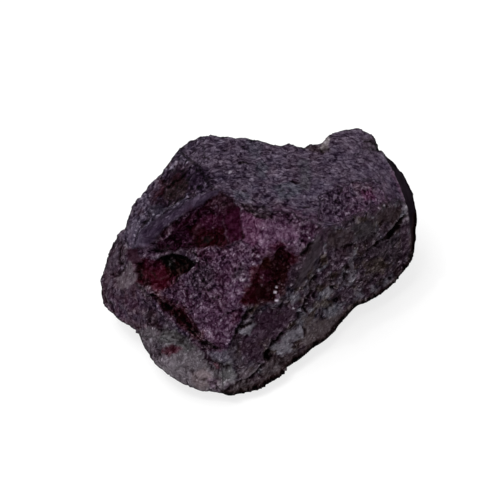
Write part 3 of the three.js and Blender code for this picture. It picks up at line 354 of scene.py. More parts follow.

# Where minerals of a different look lie, and some painted shade and highlights: tone, how much lighter than that tone
# (of 255), share, softness of the border, how smooth the surface is there, how jagged the border, outline.
PATCHES = [
    # top
    ("top_lilac", -4, 0.5, 12, 0.0, 1.0, [(182, 150), (200, 140), (245, 140), (270, 148), (262, 160), (235, 166), (205, 166), (188, 162)]),
    ("grey_blue", 0, 0.8, 5, 0.1, 0.8, [(256, 161), (263, 160), (268, 168), (266, 178), (258, 178), (254, 170)]),
    ("grey_blue", 0, 0.9, 5, 0.2, 0.8, [(274, 188), (288, 184), (300, 186), (302, 194), (292, 198), (280, 199)]),
    ("grey_blue", 0, 0.7, 4, 0.0, 0.8, [(229, 187), (240, 189), (250, 196), (255, 204), (246, 203), (236, 198)]),
    ("grey_blue", -4, 0.6, 6, 0.1, 0.8, [(246, 140), (262, 143), (262, 158), (254, 160), (248, 152)]),
    ("grey_green", 0, 0.7, 5, 0.1, 0.8, [(299, 160), (309, 160), (312, 178), (308, 190), (300, 188)]),
    ("pink_grey", -8, 0.6, 5, -0.8, 0.8, [(352, 184), (370, 182), (376, 190), (368, 198), (354, 198)]),
    ("plum_mix", 0, 0.65, 8, -1.0, 1.0, [(318, 196), (338, 186), (350, 184), (352, 198), (384, 188), (390, 200), (384, 206), (366, 214), (340, 224), (322, 220)]),
    ("top_dark", 4, 0.6, 7, -1.0, 1.0, [(318, 195), (336, 188), (346, 198), (344, 212), (332, 224), (320, 222)]),
    ("magenta", -6, 0.75, 4, -1.0, 0.8, [(362, 190), (372, 190), (374, 200), (364, 201)]),
    ("top_dark", 0, 0.75, 5, -0.1, 1.0, [(190, 163), (202, 166), (212, 174), (215, 190), (206, 192), (196, 186), (188, 172)]),
    ("brown_grey", 0, 0.7, 4, 0.1, 0.5, [(304, 149), (312, 145), (326, 145), (331, 151), (318, 153)]),
    ("bark", 0, 0.7, 3, 0.0, 0.5, [(319, 150), (328, 147), (332, 151), (322, 155)]),
    # the knob: a painted highlight on its lit left side, painted shade on its right side
    ("cream", 0, 0.9, 2, 0.2, 0.0, [(320, 149), (322.5, 140), (327, 134), (330.5, 139), (329, 148), (324, 152)]),
    ("brown_grey", 0, 0.6, 4, 0.1, 0.6, [(361, 139), (370, 136), (377, 147), (373, 152), (363, 147)]),
    ("olive_dark", 0, 0.45, 4, 0.0, 0.8, [(240, 202), (252, 206), (268, 207), (272, 214), (264, 220), (252, 215), (243, 209)]),
    ("plum_mix", 0, 0.7, 4, -0.2, 0.9, [(270, 208), (290, 206), (304, 212), (292, 221), (274, 220)]),
    ("top_lilac", 0, 0.55, 10, 0.0, 1.0, [(322, 160), (336, 128), (368, 128), (380, 150), (390, 174), (384, 180), (360, 177), (336, 182), (318, 180)]),
    ("top_lilac", 0, 0.4, 10, 0.0, 1.0, [(262, 146), (290, 146), (302, 160), (300, 182), (284, 180), (272, 160)]),
    ("top_dark", 4, 0.75, 8, 0.0, 1.0, [(242, 160), (256, 160), (258, 178), (250, 188), (238, 182)]),
    ("top_dark", 8, 0.5, 8, 0.0, 1.0, [(220, 166), (240, 166), (246, 180), (236, 190), (222, 186)]),
    ("top_dark", 0, 0.65, 6, 0.0, 0.8, [(388, 172), (396, 178), (402, 194), (401, 202), (392, 201), (388, 186)]),
    # front
    ("front_pink", 0, 0.95, 4, 0.5, 0.5, [(240, 211), (250, 213), (262, 220), (262, 240), (252, 246), (243, 241), (241, 226)]),
    ("front_lilac", 0, 0.9, 6, 0.35, 0.6, [(262, 221), (284, 222), (302, 229), (304, 236), (292, 240), (280, 240), (268, 250), (258, 252), (260, 236)]),
    ("front_light", 0, 0.7, 3, 0.3, 0.4, [(258, 224), (267, 223), (268, 230), (260, 231)]),
    ("front_light", 0, 0.5, 3, 0.3, 0.4, [(281, 231), (288, 230), (288, 237), (282, 238)]),
    ("plum_mix", 10, 0.6, 6, -0.3, 0.9, [(286, 214), (304, 211), (320, 218), (317, 232), (304, 236), (290, 227)]),
    ("wine", 0, 0.6, 3, 0.2, 0.6, [(195, 250), (208, 250), (216, 256), (208, 260), (198, 258)]),
    ("front_lilac", 4, 0.5, 8, 0.0, 1.0, [(226, 268), (240, 266), (246, 284), (240, 302), (228, 306), (222, 290)]),
    ("front_grey", -4, 0.7, 7, -0.1, 1.0, [(190, 262), (204, 260), (214, 268), (214, 284), (204, 290), (188, 288)]),
    ("front_lilac", 0, 0.5, 6, 0.0, 1.0, [(206, 314), (220, 312), (224, 328), (214, 332), (206, 326)]),
    ("front_grey", 4, 0.6, 5, 0.0, 1.0, [(233, 269), (244, 267), (248, 280), (240, 284), (232, 280)]),
    ("wine", 4, 0.45, 3, 0.2, 0.6, [(232, 313), (240, 308), (243, 316), (239, 325), (231, 321)]),
    ("front_low", 0, 0.7, 8, 0.1, 1.0, [(194, 310), (222, 306), (232, 326), (226, 346), (206, 338)]),
    ("front_lilac", -3, 0.4, 8, 0.1, 1.0, [(206, 254), (226, 250), (242, 246), (252, 250), (246, 262), (234, 266), (226, 284), (216, 284), (220, 266), (208, 262)]),
    ("ice", 12, 0.9, 4, 0.2, 0.6, [(209, 352), (222, 351), (235, 350), (233, 362), (222, 364), (212, 360)]),
    ("front_low", 4, 0.5, 8, 0.0, 1.0, [(180, 296), (200, 298), (222, 314), (232, 318), (226, 334), (206, 330), (190, 312)]),
    ("bark", 0, 0.6, 3, 0.0, 0.7, [(200, 341), (210, 341), (218, 348), (210, 350), (203, 346)]),
    # left faces and the upper left break
    ("w0", 0, 0.95, 7, 0.25, 0.8, WINDOW_0),
    ("w0_navy", 0, 0.8, 5, 0.1, 0.8, [(188, 164), (203, 168), (212, 176), (210, 187), (200, 191), (190, 190), (185, 176)]),
    ("w0_brown", 0, 0.8, 5, 0.2, 0.7, [(166, 184), (182, 176), (188, 184), (186, 194), (176, 200), (164, 198)]),
    ("w0_red", 0, 0.95, 4, 0.3, 0.6, [(149, 190), (156, 183), (162, 180), (166, 185), (162, 194), (157, 200), (149, 199)]),
    ("w0_red", -6, 0.7, 3, 0.2, 0.6, [(170, 180), (178, 172), (184, 174), (180, 181), (173, 187), (167, 189)]),
    ("left_blue", -8, 0.8, 4, 0.2, 0.6, [(149, 204), (164, 206), (176, 206), (164, 214), (152, 220), (147, 214)]),
    ("left_lilac", -4, 0.75, 7, 0.1, 0.8, [(128, 216), (138, 204), (148, 190), (154, 180), (160, 184), (154, 196), (147, 205), (148, 220), (142, 232), (146, 244), (158, 246), (156, 258), (142, 258), (128, 240)]),
    ("brown_mauve", 0, 0.5, 3, 0.3, 0.4, [(137, 211), (143, 207), (143, 216), (137, 218)]),
    ("left_lilac", 0, 0.5, 4, 0.0, 0.6, [(118, 232), (130, 230), (132, 246), (122, 248)]),
    ("left_lilac", 0, 0.8, 3, 0.6, 0.2, [(129, 228), (134, 228), (136, 248), (129, 249)]),
    # glassy breaks
    ("w1_dark", 0, 1.0, 3, 0.3, 0.9, WINDOW_1),
    ("w1_apex", 0, 0.8, 4, 0.0, 0.9, [(214, 196), (224, 193), (234, 199), (240, 206), (232, 210), (216, 210), (204, 206)]),
    ("rib", 4, 0.7, 4, 0.1, 0.6, [(182, 212), (196, 204), (206, 200), (207, 205), (195, 212), (184, 219)]),
    ("w1_mid", 0, 0.8, 4, 0.0, 0.8, [(174, 224), (186, 214), (200, 206), (222, 208), (222, 218), (206, 220), (190, 226), (174, 238)]),
    ("w1_plum", 0, 0.8, 4, 0.2, 0.7, [(200, 216), (212, 214), (222, 216), (223, 230), (206, 231), (200, 226)]),
    ("w1_plum", 0, 0.95, 3, 0.5, 0.3, [(226, 209), (240, 207), (242, 225), (241, 240), (232, 243), (228, 236), (225, 222)]),
    ("w1_dark", 0, 0.6, 3, 0.4, 0.4, [(226, 206), (233, 204), (238, 209), (232, 214), (227, 214)]),
    ("w1_brown", 0, 0.8, 3, 0.5, 0.3, [(190, 225), (200, 224), (201, 236), (192, 240), (188, 233)]),
    ("w1_red", 0, 0.85, 4, 0.25, 0.5, [(200, 231), (212, 229), (222, 227), (226, 238), (226, 245), (214, 248), (198, 248), (195, 240)]),
    ("w1_left", 0, 0.8, 5, 0.0, 0.7, [(156, 248), (164, 237), (176, 229), (190, 232), (193, 246), (176, 249)]),
    ("ledge", 0, 0.7, 3, 0.1, 0.7, [(140, 248), (154, 246), (170, 251), (196, 249), (196, 254), (176, 254), (156, 258), (142, 260)]),
    ("front_low", 0, 0.6, 4, 0.0, 0.6, [(141, 246), (152, 244), (158, 249), (156, 256), (146, 257), (141, 254)]),
    # the pocket's deep black: partly the crystal's own colour, partly painted shade under its overhung upper edge
    ("w2_black", 0, 1.0, 4, 0.1, 1.0, WINDOW_2),
    ("w2_red", 0, 0.95, 4, 0.3, 0.3, [(134, 262), (144, 259), (152, 260), (160, 261), (164, 268), (172, 274), (180, 276), (174, 283), (168, 289), (158, 292), (150, 288), (142, 286), (136, 282), (134, 272)]),
    ("w2_black", 0, 0.55, 4, 0.3, 0.3, [(135, 262), (143, 262), (144, 270), (140, 279), (135, 276)]),
    ("w2_bright", 0, 0.85, 5, 0.4, 0.3, [(150, 270), (160, 269), (167, 275), (167, 284), (159, 290), (152, 285)]),
    ("w2_plum", 0, 0.7, 4, 0.1, 0.3, [(142, 257), (152, 259), (160, 260), (160, 269), (150, 271), (144, 266)]),
    ("w2_black", 0, 0.5, 3, 0.2, 0.3, [(142, 277), (149, 278), (149, 286), (143, 285)]),
    # a faint painted highlight in the black
    ("w2_green", 0, 0.6, 2, 0.2, 0.3, [(165, 261), (173, 261), (174, 267), (167, 268)]),
    ("w2_brown", 0, 0.7, 3, 0.3, 0.3, [(164, 268), (182, 268), (190, 268), (188, 273), (178, 277), (168, 276)]),
    ("w2_plum", 0, 0.6, 4, 0.0, 0.3, [(168, 276), (178, 276), (178, 283), (170, 287)]),
    ("w2_brown", -7, 0.6, 4, 0.2, 0.5, [(175, 261), (184, 259), (190, 262), (190, 269), (182, 272), (175, 268)]),
    ("pale", 0, 0.6, 2, 0.2, 0.3, [(144, 286), (150, 284), (152, 288), (147, 291), (142, 289)]),
    ("w3_dark", 0, 0.92, 5, 0.1, 1.0, WINDOW_3),
    ("w3_brown", 0, 0.85, 3, 0.3, 0.3, [(262, 259), (272, 259), (271, 270), (263, 271)]),
    ("w3_red", 0, 0.9, 4, 0.2, 0.3, [(251, 266), (261, 262), (263, 272), (262, 282), (255, 285), (249, 282)]),
    ("w3_red", 0, 0.9, 4, 0.4, 0.3, [(245, 287), (256, 285), (258, 294), (256, 302), (247, 305), (240, 303)]),
    ("w3_plum", 0, 0.7, 4, 0.1, 0.3, [(262, 272), (271, 271), (271, 282), (263, 284)]),
    ("w3_plum", 0, 0.85, 4, 0.0, 0.6, [(270, 245), (280, 240), (290, 244), (286, 251), (276, 255), (270, 256)]),
    ("w3_plum", 0, 0.7, 4, 0.2, 0.3, [(283, 252), (291, 252), (297, 260), (292, 266), (286, 262)]),
    ("w3_block", -8, 0.8, 4, 0.1, 0.6, [(280, 268), (288, 268), (290, 280), (286, 292), (280, 298), (277, 290), (280, 280)]),
    ("front_low", 6, 0.55, 2, 0.0, 0.8, [(268, 248), (274, 246), (277, 252), (274, 260), (270, 262), (268, 256)]),
    ("w3_dark", 0, 0.6, 3, 0.1, 0.6, [(277, 252), (284, 252), (294, 255), (298, 258), (294, 264), (286, 266), (280, 262)]),
    ("front_low", 2, 0.75, 3, 0.0, 0.6, [(287, 243), (296, 243), (301, 249), (299, 256), (291, 254), (285, 250)]),
    ("w3_block", 0, 0.7, 2, 0.7, 0.2, [(256, 288), (264, 288), (264, 297), (256, 297)]),
    ("w3_block", 0, 0.6, 4, 0.3, 0.5, [(280, 270), (288, 269), (288, 279), (280, 282)]),
    ("end_violet", -8, 0.7, 5, 0.3, 0.6, [(289, 266), (298, 261), (296, 276), (290, 286), (284, 284), (288, 276)]),
    # lower left
    ("groove", 2, 0.75, 4, 0.0, 0.9, [(151, 290), (160, 292), (168, 299), (176, 305), (184, 309), (191, 316), (197, 323), (204, 331), (204, 340), (194, 338), (186, 331), (179, 325), (172, 317), (164, 310), (155, 301)]),
    ("w1_red", -12, 0.75, 3, 0.1, 0.6, [(157, 299), (166, 303), (174, 309), (183, 316), (191, 324), (199, 333), (195, 337), (186, 330), (177, 321), (167, 313), (158, 305)]),
    ("w1_red", 0, 0.6, 3, 0.3, 0.5, [(172, 309), (182, 309), (187, 316), (184, 322), (177, 318)]),
    ("pale", 0, 0.85, 5, 0.5, 0.4, [(118, 275), (124, 271), (128, 264), (133, 263), (135, 270), (136, 278), (133, 284), (130, 289), (122, 290), (116, 285), (115, 279)]),
    ("brown_mauve", 0, 1.0, 2, 0.9, 0.1, [(128, 249), (139, 248), (140, 261), (134, 264), (128, 262)]),
    ("lobe_violet", 0, 0.7, 4, 0.5, 0.5, [(110, 252), (118, 248), (119, 262), (116, 272), (110, 276), (107, 266)]),
    ("bark", 0, 0.5, 4, 0.0, 0.7, [(143, 313), (152, 311), (159, 316), (159, 325), (150, 327), (144, 320)]),
    ("lobe_violet", 0, 0.8, 4, 0.3, 0.5, [(160, 311), (168, 316), (176, 324), (172, 329), (161, 327)]),
    ("plum_mix", 0, 0.6, 4, 0.1, 0.6, [(126, 298), (140, 299), (144, 306), (130, 309)]),
    # pale foot
    ("bench", 0, 0.6, 6, 0.3, 0.6, BENCH),
    ("bench", -10, 0.6, 6, 0.3, 0.6, [(140, 342), (150, 344), (162, 360), (172, 372), (188, 382), (186, 394), (160, 384), (138, 356)]),
    ("quartz_green", 0, 0.8, 4, 0.6, 0.6, [(158, 333), (178, 331), (190, 339), (198, 350), (184, 353), (174, 345), (160, 343)]),
    ("quartz", 0, 0.7, 4, 0.5, 0.5, [(143, 331), (158, 329), (159, 338), (150, 343), (145, 338)]),
    ("quartz", 3, 0.95, 5, 0.45, 0.6, [(161, 354), (178, 353), (196, 350), (204, 358), (212, 372), (216, 389), (200, 389), (184, 384), (168, 376), (156, 364)]),
    ("bench", -10, 0.3, 5, 0.3, 0.8, [(186, 362), (192, 360), (194, 372), (188, 384), (180, 380), (180, 370)]),
    ("quartz", 4, 0.6, 4, 0.5, 0.8, [(164, 362), (174, 358), (182, 362), (178, 372), (168, 372)]),
    ("end_violet", 10, 0.25, 4, 0.2, 0.8, [(146, 342), (156, 344), (166, 356), (170, 364), (160, 366), (150, 354)]),
    ("quartz_tan", 0, 0.7, 5, 0.6, 0.6, [(190, 372), (204, 368), (212, 378), (206, 388), (194, 386)]),
    ("rust", 0, 0.85, 3, 0.3, 0.6, [(161, 353), (163, 349), (170, 346), (178, 346), (182, 350), (176, 353), (169, 355)]),
    ("quartz_green", 4, 0.6, 5, 0.2, 0.6, [(213, 361), (229, 361), (234, 372), (224, 380), (213, 375)]),
    ("pale", -8, 0.45, 4, 0.2, 0.5, [(240, 362), (256, 364), (256, 376), (244, 377)]),
    ("rust", 0, 0.8, 2, 0.2, 0.5, [(214, 364), (219, 364), (220, 369), (216, 369)]),
    ("quartz_green", 8, 0.8, 4, 0.3, 0.5, [(220, 371), (231, 368), (238, 374), (232, 382), (221, 385)]),
    ("pale", 0, 0.8, 3, 0.3, 0.4, [(238, 370), (250, 369), (251, 377), (240, 379)]),
    ("plum_mix", 0, 0.6, 3, 0.1, 0.5, [(208, 378), (216, 380), (218, 388), (209, 388)]),
    ("rim", -4, 0.8, 4, 0.3, 0.5, [(226, 391), (232, 383), (246, 380), (258, 376), (264, 372), (274, 376), (258, 388), (240, 393)]),
    # end
    ("end_strip", -4, 0.95, 3, 0.85, 0.3, [(313, 242), (321, 232), (323, 245), (316, 258), (308, 272), (300, 288), (295, 286), (300, 272), (306, 256)]),
    ("end_dark", 0, 0.6, 4, 0.5, 0.5, [(296, 262), (304, 256), (300, 272), (292, 286), (288, 278)]),
    ("end_brown", 0, 0.8, 7, 0.75, 0.4, [(327, 232), (345, 229), (353, 233), (350, 244), (336, 250), (325, 247)]),
    ("end_green", 0, 0.8, 7, 0.75, 0.4, [(352, 224), (366, 221), (378, 223), (376, 236), (366, 241), (353, 239)]),
    ("end_olive", 0, 0.8, 3, 0.4, 0.4, [(352, 217), (364, 216), (370, 220), (357, 223)]),
    ("end_brown", 0, 0.8, 7, 0.7, 0.4, [(380, 208), (396, 205), (402, 213), (397, 221), (384, 223), (371, 220)]),
    ("end_violet", 0, 0.8, 4, 0.6, 0.4, [(319, 229), (328, 226), (327, 240), (320, 246)]),
    ("end_dark", 0, 0.8, 4, 0.55, 0.4, [(368, 246), (380, 243), (398, 247), (402, 256), (384, 259), (370, 255)]),
    ("end_violet", 0, 0.9, 4, 0.65, 0.4, [(400, 224), (408, 224), (410, 248), (402, 256), (399, 238)]),
    ("end", -5, 0.35, 12, 0.1, 1.0, [(358, 236), (408, 218), (411, 262), (384, 290), (356, 286)]),
    ("end_olive", 0, 0.7, 5, 0.2, 0.8, [(362, 262), (380, 258), (390, 264), (382, 273), (366, 273)]),
    ("end_violet", 0, 0.6, 5, 0.1, 0.8, [(328, 248), (345, 250), (346, 264), (334, 271), (328, 262)]),
    ("mica", 0, 0.6, 3, 0.1, 0.7, [(348, 257), (353, 257), (355, 270), (353, 285), (346, 285), (349, 270)]),
    ("end_olive", 0, 0.8, 3, 0.1, 0.6, [(320, 253), (326, 253), (326, 263), (320, 267)]),
    ("mica", 0, 0.85, 3, 0.2, 0.6, [(319, 292), (328, 286), (334, 291), (327, 297), (321, 298)]),
    ("mica_beige", 0, 0.8, 3, 0.2, 0.5, [(321, 297), (327, 296), (327, 306), (322, 309)]),
    ("mica_beige", 0, 0.7, 3, 0.2, 0.5, [(311, 300), (318, 300), (318, 309), (312, 308)]),
    ("mica_blue", 4, 0.7, 5, 0.2, 0.7, [(321, 309), (334, 304), (343, 303), (339, 314), (326, 321)]),
    ("mica_blue", 6, 0.6, 6, 0.1, 0.8, [(292, 322), (300, 312), (308, 312), (306, 326), (298, 332)]),
    ("mica_blue", 2, 0.55, 6, 0.1, 0.8, [(342, 296), (350, 288), (362, 288), (366, 294), (354, 302), (346, 304)]),
    ("end_violet", 0, 0.7, 5, 0.1, 0.8, [(334, 290), (350, 286), (359, 291), (350, 304), (340, 303)]),
    ("mica", 0, 0.8, 2.5, 0.2, 0.4, [(369, 286), (373, 283), (376, 290), (370, 292)]),
    ("mica", 0, 0.7, 2.5, 0.2, 0.4, [(382, 280), (388, 276), (390, 284), (384, 286)]),
    ("rim", 11, 0.85, 5, 0.5, 0.5, [(304, 318), (330, 318), (344, 309), (352, 303), (360, 300), (343, 322), (323, 342), (306, 350), (300, 340), (303, 328)]),
    ("rim", 0, 0.6, 5, 0.2, 0.5, [(352, 302), (366, 296), (382, 288), (394, 278), (400, 280), (380, 298), (360, 306)]),
    ("end_violet", -6, 0.9, 5, 0.5, 0.5, [(253, 313), (272, 312), (289, 310), (287, 324), (277, 339), (260, 339), (252, 334), (257, 324)]),
    ("end_violet", -4, 0.85, 5, 0.4, 0.5, [(240, 336), (256, 336), (263, 348), (259, 362), (244, 363), (238, 350)]),
    ("mica", -6, 0.85, 2, 0.5, 0.3, [(240, 332), (246, 327.5), (253, 322), (256.5, 322.5), (252, 329), (249, 335), (243, 336)]),
    ("mica", 5, 0.85, 3, 0.5, 0.4, [(285, 330), (296, 328), (303, 328), (304, 336), (297, 340), (286, 342), (281, 338)]),
    ("mica", 4, 0.8, 4, 0.3, 0.6, [(274, 344), (284, 340), (293, 342), (292, 351), (282, 355), (273, 350)]),
    ("mica_blue", 0, 0.7, 4, 0.2, 0.6, [(288, 294), (298, 291), (301, 298), (292, 305), (287, 300)]),
    ("end_violet", 0, 0.7, 4, 0.3, 0.6, [(282, 306), (296, 304), (297, 320), (284, 326)]),
    # a pit painted near black as shade
    ("hole", 0, 0.95, 2, 0.3, 0.4, [(264, 353), (270, 350), (273, 356), (271, 363), (266, 360)]),
    ("rim", 0, 0.8, 4, 0.4, 0.5, [(262, 366), (272, 358), (284, 355), (296, 352), (308, 347), (290, 364), (276, 377), (262, 376)]),
    ("end_strip", 0, 0.6, 4, 0.2, 0.6, [(231, 340), (240, 334), (238, 350), (240, 362), (233, 362), (226, 352)]),
    ("brown_grey", 0, 0.6, 3, 0.1, 0.5, [(295, 342), (302, 341), (303, 348), (296, 349)]),
]


def spot(base, uv, facing, at):
    """The point of the stone seen at one place of the view."""
    d = ((uv - np.asarray(at, float)) ** 2).sum(1) + 1e4 * (facing < 0.5)
    return base[int(np.argmin(d))]


class Stone:
    """The stone's fine surface: its points, what joins them, and what each is like."""

    def __init__(self, mesh):
        n = len(mesh.vertices)
        self.co = np.empty(n * 3)
        mesh.vertices.foreach_get("co", self.co)
        self.co = self.co.reshape(n, 3)
        e = np.empty(len(mesh.edges) * 2, np.int32)
        mesh.edges.foreach_get("vertices", e)
        self.edges = e.reshape(-1, 2)
        self.count = np.bincount(self.edges.ravel(), minlength=n).astype(float)
        sizes = np.empty(len(mesh.polygons), np.int32)
        mesh.polygons.foreach_get("loop_total", sizes)
        loops = np.empty(len(mesh.loops), np.int32)
        mesh.loops.foreach_get("vertex_index", loops)
        assert (sizes == 4).all()
        self.faces = loops.reshape(-1, 4)

    def mean(self, x):
        """The mean of each point's neighbours."""
        a, b = self.edges[:, 0], self.edges[:, 1]
        n = len(self.co)
        if x.ndim == 1:
            s = np.bincount(a, x[b], n) + np.bincount(b, x[a], n)
            return s / self.count
        return np.stack([self.mean(x[:, i]) for i in range(x.shape[1])], 1)

    def blur(self, x, times, share=0.5):
        for _ in range(times):
            x = x + share * (self.mean(x) - x)
        return x

    def normals(self):
        f = self.faces
        d1 = self.co[f[:, 2]] - self.co[f[:, 0]]
        d2 = self.co[f[:, 3]] - self.co[f[:, 1]]
        c = np.cross(d1, d2)
        n = np.zeros_like(self.co)
        for k in range(4):
            for i in range(3):
                n[:, i] += np.bincount(f[:, k], c[:, i], len(n))
        return n / np.maximum(np.linalg.norm(n, axis=1), 1e-12)[:, None]


def fine_mesh(size):
    """A closed fine mesh of the CAD stone, in millimetres."""
    data = bpy.data.objects[NODE].data.copy()
    data.transform(Matrix.Scale(1000.0, 4))
    coarse = bpy.data.objects.new("coarse", data)
    bpy.context.scene.collection.objects.link(coarse)
    mod = coarse.modifiers.new("remesh", "REMESH")
    mod.mode = "VOXEL"
    mod.voxel_size = size
    mod.adaptivity = 0.0
    deps = bpy.context.evaluated_depsgraph_get()
    fine = bpy.data.meshes.new_from_object(coarse.evaluated_get(deps), depsgraph=deps)
    bpy.data.objects.remove(coarse)
    bpy.data.meshes.remove(data)
    return fine


def mixed(a, b, t):
    return a + (np.asarray(b) - a) * t[:, None]


def shape(stone):
    """Gives the stone its relief and returns what each point is like."""
    flat = stone.co[:, 2] < 0.03
    stone.co = stone.blur(stone.co, 3)
    stone.co[flat, 2] = 0.0
    base = stone.co.copy()
    n0 = stone.blur(stone.normals(), 3)
    n0 /= np.linalg.norm(n0, axis=1)[:, None]
    turned = -(n0 @ FORWARD)  # 1 where a point squarely faces the view
    facing = smooth(-0.02, 0.12, turned)
    foot = smooth(0.05, 0.9, base[:, 2])
    uv = to_view(base)
    warp = np.stack([noise(base / 0.9, 5), noise(base / 0.9, 6)], 1)
    warp2 = np.stack([noise(base / 0.35, 7), noise(base / 0.35, 8)], 1)
    wuv = uv + 1.8 * warp + 1.0 * warp2
    suv = uv + 1.0 * warp + 0.6 * warp2

    # which way the grain of each region runs, and how strongly it is drawn out
    def way(a, b):
        d = spot(base, uv, facing, b) - spot(base, uv, facing, a)
        return d / np.linalg.norm(d)

    bent = base + 0.30 * np.stack([noise(base / 1.4, 15), noise(base / 1.4, 16), noise(base / 1.4, 17)], 1)
    A, a1, a2, ar = chips(bent, 1.20, 41)
    rough_edge = 3.0 * (ar - 0.5)
    lay = np.stack([bent[:, 0], bent @ UPWARD, 0.6 * (bent @ FORWARD)], 1)
    lay[facing <= 0.5, 0] *= 0.5
    coarse = inside(uv, COARSE) + rough_edge > 0
    fine = 1 + 0.30 * ((inside(uv, TOP) + rough_edge > 0) & (facing > 0.5) & ~coarse)
    lay *= fine[:, None]
    for pts, angle, drawn in GRAIN:
        d = np.array([math.cos(math.radians(angle)), math.sin(math.radians(angle)), 0.0])
        here = (inside(uv, pts) + rough_edge > 0) & (facing > 0.5) & ~coarse
        lay[here] -= np.outer(lay[here] @ d, d) * drawn

    # broken grains: one set of cells for each size
    B, b1, b2, br = chips(lay, 0.66, 51)
    jag = 3.2 * (ar - 0.5) + 2.6 * (br - 0.5)

    def mask(pts, soft=3.0, where=wuv, jagged=1.0):
        """1 inside an outline whose border follows the grains."""
        near = ((where > np.min(pts, 0) - 10) & (where < np.max(pts, 0) + 10)).all(1) & (facing > 0)
        w = np.zeros(len(base))
        w[near] = smooth(-soft / 2, soft / 2, inside(where[near], pts) + jagged * jag[near]) * facing[near]
        return w

    def line(pts, width, taper=0.15, where=suv):
        near = ((where > np.min(pts, 0) - 12) & (where < np.max(pts, 0) + 12)).all(1) & (facing > 0)
        d, s, side = along(where[near], pts)
        w = width[near] * np.minimum(1, np.minimum(s, 1 - s) / taper + 0.25)
        g = np.zeros(len(base))
        g[near] = np.exp(-((d / w) ** 2)) * facing[near]
        return g

    m = {
        "top": mask(TOP, 5),
        "front": mask(FRONT, 5),
        "end": mask(END, 4),
        "smooth_end": mask(SMOOTH_END, 3, wuv, 0.5),
        "shaded_band": smooth(-0.75, 0.75, inside(uv, SIDE_BAND)) * smooth(-0.5, 0.0, turned),
        "lobe": mask(LEFT_LOBE, 4),
        "bench": mask(BENCH, 5),
        "left": mask(LEFT_FACE, 4),
        "w0": mask(WINDOW_0, 9),
        "w1": 0.9 * mask(WINDOW_1, 3.0, wuv, 0.9),
        "w2": mask(WINDOW_2, 2.0, wuv, 0.7),
        "w3": 0.7 * mask(WINDOW_3, 5.0, wuv, 1.0),
    }
    rib = smooth(-1.2, 1.2, inside(suv, RIB_BAND)) * facing
    rest = 1 - facing
    glass = np.clip(m["w1"] + m["w2"] + m["w3"], 0, 1)

    # smooth spots and rough ones, from the patches
    calm = np.zeros(len(base))
    for tone, lift, share, soft, even, jagged, pts in PATCHES:
        w = mask(pts, soft, wuv, 0.6 * jagged)
        calm = calm + (even - calm) * w * (0.6 + 0.4 * share)
    calm = np.maximum(calm, 0.75 * m["shaded_band"])

    # hidden faces: the long rear wall is a fluted prism face, the rest is broken
    rear = rest * smooth(0.15, 0.5, n0[:, 1])
    under = rest * smooth(0.2, 0.6, -n0[:, 2])

    level = 1 - 0.8 * np.clip(calm, 0, 1)
    # the foot's edge at the lower right is worn smooth
    worn = smooth(-3, 3, inside(uv, LOW_RIGHT)) * smooth(0.8, 0.4, turned) * smooth(-0.95, -0.7, turned)
    level = level * (1 - 0.75 * worn)
    # ---- relief in millimetres, outward ----
    h = 0.10 + 0.14 * fbm(base / 3.2, 2, 21)
    # planes of the break, a few millimetres wide, that meet at steps
    C, c1, c2, cr = chips(base + 0.7 * np.stack([noise(base / 2.5, 25), noise(base / 2.5, 26), noise(base / 2.5, 27)], 1), 3.1, 28)
    D, d1, d2, dr = chips(bent, 1.9, 29)
    h += level * (1 - 0.5 * glass) * ((0.10 - 0.04 * m["top"]) * C + (0.06 - 0.02 * m["top"]) * D) * (1 - 0.7 * rib)

    # growth steps along the stone's length on the top, flutes on the rear wall
    across = base[:, 1] * 0.93 + base[:, 2] * 0.40
    run = np.stack([base[:, 0] / 5.0, across / 2.2, base[:, 2] / 4.0], 1)
    wander = 0.55 * fbm(run, 2, 31)
    for pitch, amount, seed in ((1.75, 0.09, 32), (0.86, 0.05, 36)):
        t = across / pitch + wander * 1.6 + 0.25 * noise(base / 1.1, seed + 1)
        step = t - np.floor(t)
        which = np.floor(t).astype(np.int64)
        strength = 0.35 + 0.9 * hashed(which, np.floor(base[:, 0] / 3.2 + 7.3 * hashed(which, which, which, 3)).astype(np.int64), which * 0, seed)
        h += amount * (step - 0.5) * strength * m["top"]
    h += 0.05 * fbm(base * np.array([0.5, 2.4, 2.4]), 2, 38) * m["top"]
    rearflute = fbm(base * np.array([0.12, 1.1, 1.5]), 3, 33)
    h += (0.16 * rearflute + 0.05 * fbm(base * np.array([0.3, 3.2, 3.4]), 2, 34)) * rear

    # layers of the end face, which run down towards the foot
    lean = way((398, 222), (272, 358))
    flat_run = base - np.outer(base @ lean, lean) * 0.72
    layers = fbm(flat_run / 1.25, 3, 45)
    h += 0.10 * layers * m["end"] * level * (1 - m["shaded_band"])
    # lines along the rib
    rise = way((216, 195), (142, 240))
    rib_run = base - np.outer(base @ rise, rise) * 0.88
    ribbed = fbm(rib_run / 0.55, 2, 47)
    h += 0.025 * ribbed * np.maximum(rib, 0.4 * m["w1"]) * (1 - 0.5 * m["front"])

    # glassy breaks: sunk, with curved planes of their own
    deep = smooth(-0.3, 2.6, inside(wuv, WINDOW_1) + 0.8 * jag) * 0.16 + smooth(-0.6, 3.6, inside(wuv, WINDOW_2) + 0.8 * jag) * 0.32 + smooth(-1.0, 5.0, inside(wuv, WINDOW_3) + jag) * 0.30
    h -= deep * facing
    h -= 0.16 * m["w0"]
    h = h - 0.6 * worn * (h - 0.10)
    E, _, _, er = chips(bent, 2.4, 63)
    h += glass * (0.09 * E + 0.02 * fbm(base / 0.8, 2, 61))

    # rib between the two upper breaks, with a flat back
    h += 0.13 * rib
    # the break below the rib starts as a slope
    d, along_rib, _ = along(suv, RIB_FOOT)
    h += 0.42 * np.exp(-((d / 4.0) ** 2)) * facing

